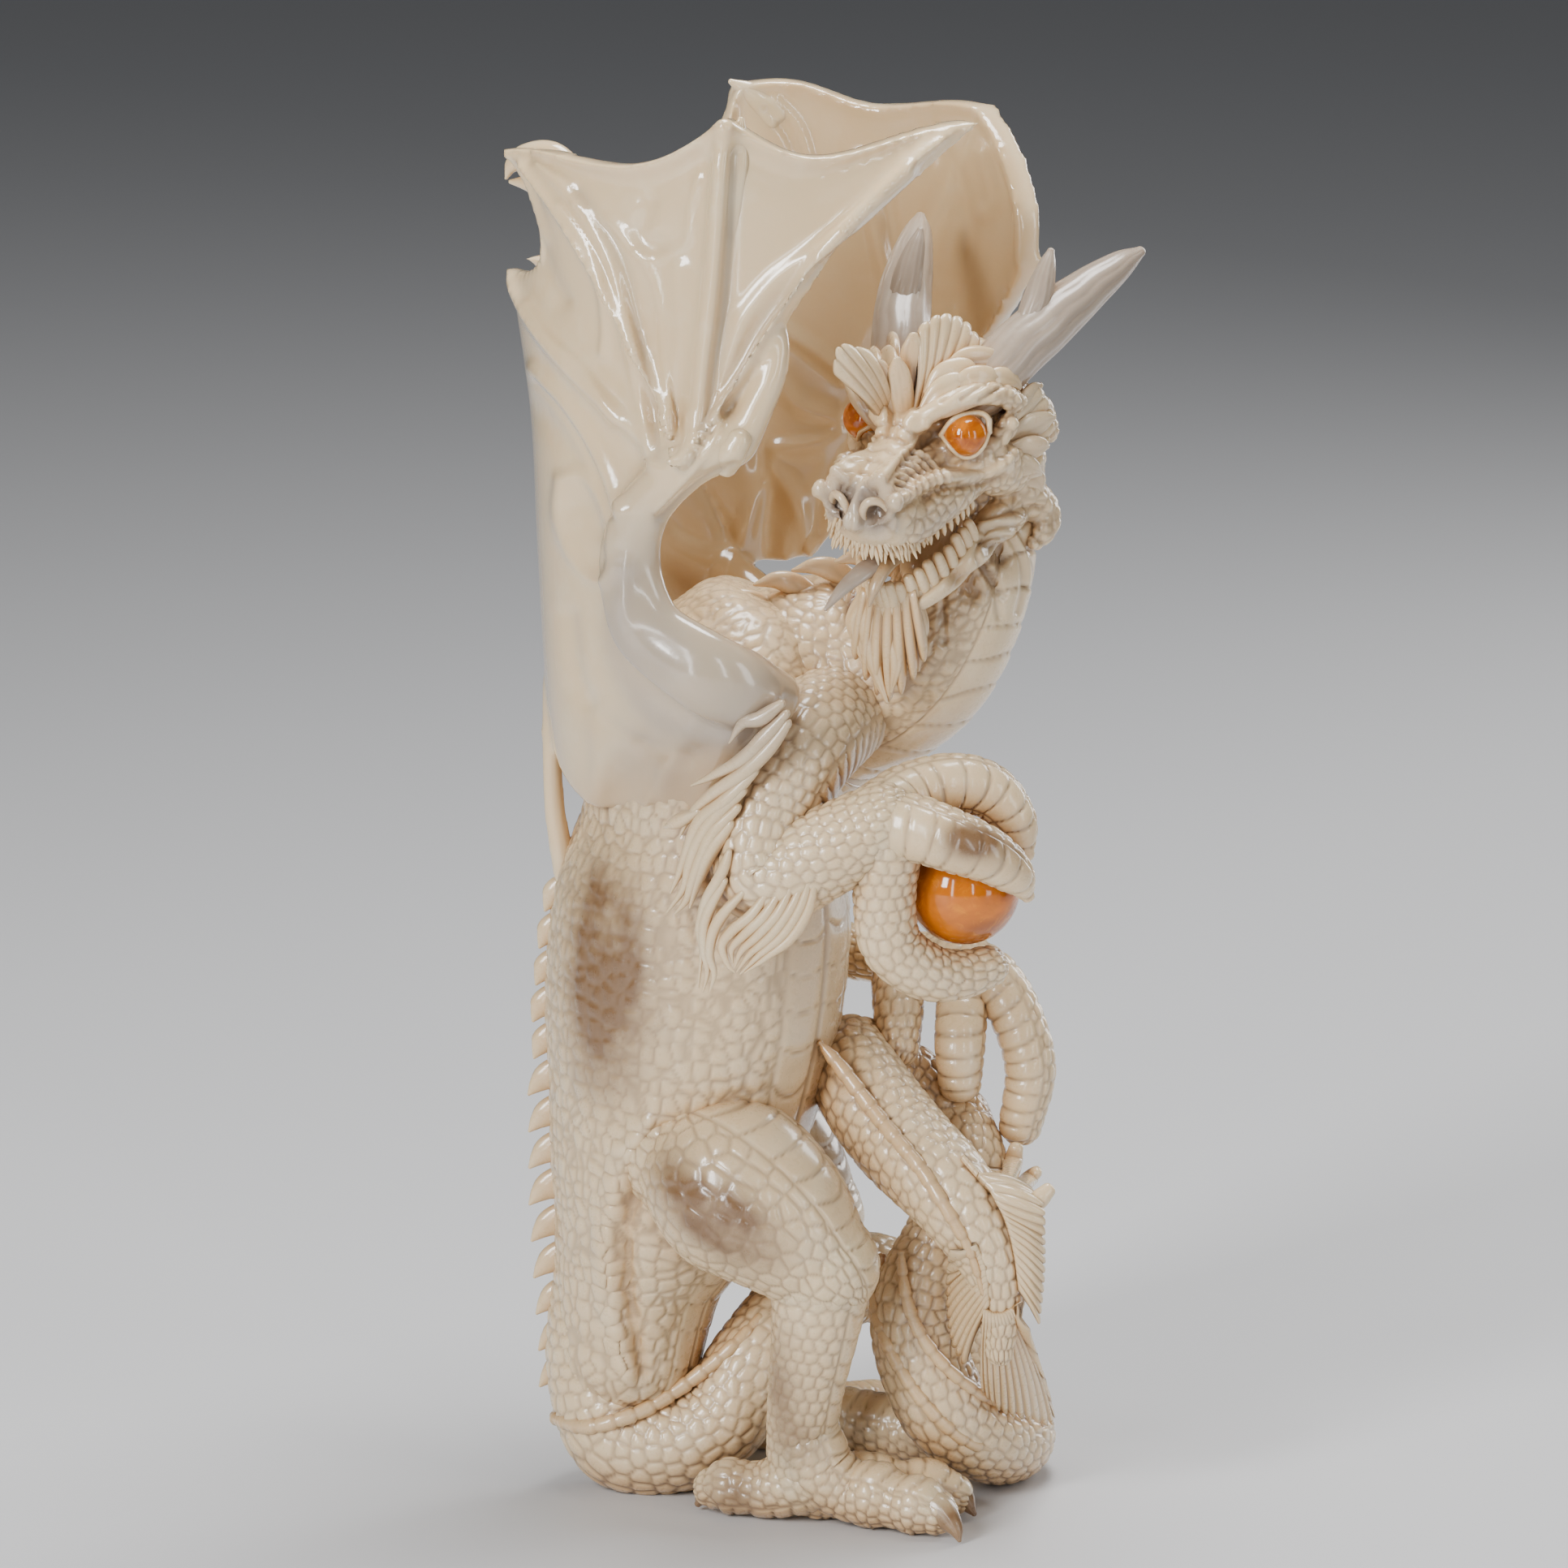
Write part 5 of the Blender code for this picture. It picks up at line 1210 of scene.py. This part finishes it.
# Floor, light and camera
studio = {
    "floor": (0.62, 0.62, 0.63, 1), "world": (0.60, 0.63, 0.68, 1), "worldPower": 0.09, "lens": 239.65, "film": 36,
    "lit": (0, 0, 0.16), "eye": (-0.0087, -2.1341, 0.6043), "aim": (-0.0087, 0, 0.15065),
    "lamps": [("key", (-0.9, -1.1, 0.8), 0.3, 0.8, 24), ("fill", (1, -0.8, 0.4), 0.25, 0.8, 3.2),
        ("top", (0.1, 0.1, 1.05), 0.45, 0.45, 12), ("rim", (0.8, 0.8, 0.5), 0.4, 0.8, 8),
        ("stripLeft", (-0.5, -1.25, 0.45), 0.1, 0.9, 3.2), ("stripRight", (0.45, -1.3, 0.5), 0.08, 0.8, 2.2)],
}


def pointed(item, place, target):
    # Puts a lamp or camera at the place and turns it to the target
    item.location = place
    item.rotation_euler = (Vector(target) - item.location).to_track_quat("-Z", "Y").to_euler()
    return item


def addStage():
    # A pale floor, a dim world, soft box lamps round the statue and a long lens
    floorMesh = bpy.data.meshes.new("floor")
    floorMesh.from_pydata([(-6, -4, 0), (6, -4, 0), (6, 8, 0), (-6, 8, 0)], [], [(0, 1, 2, 3)])
    addObject("floor", floorMesh)
    material, shader, place = newFinish("floorPaper")
    grain = place.node("ShaderNodeTexNoise", {}, {"Vector": place, "Scale": 900, "Detail": 2})
    feed(shader, {"Base Color": studio["floor"], "Roughness": 0.5 + grain * 0.1})
    floorMesh.materials.append(material)
    world = bpy.data.worlds.new("studio")
    bpy.context.scene.world = world
    world.use_nodes = True
    backdrop = world.node_tree.nodes["Background"]
    backdrop.inputs["Color"].default_value = studio["world"]
    backdrop.inputs["Strength"].default_value = studio["worldPower"]
    for name, place, wide, high, power in studio["lamps"]:
        data = bpy.data.lights.new(name, "AREA")
        data.shape, data.size, data.size_y, data.energy = "RECTANGLE", wide, high, power
        pointed(addObject(name, data), place, studio["lit"])
    data = bpy.data.cameras.new("camera")
    data.lens, data.sensor_width = studio["lens"], studio["film"]
    bpy.context.scene.camera = pointed(addObject("camera", data), studio["eye"], studio["aim"])


addStage()
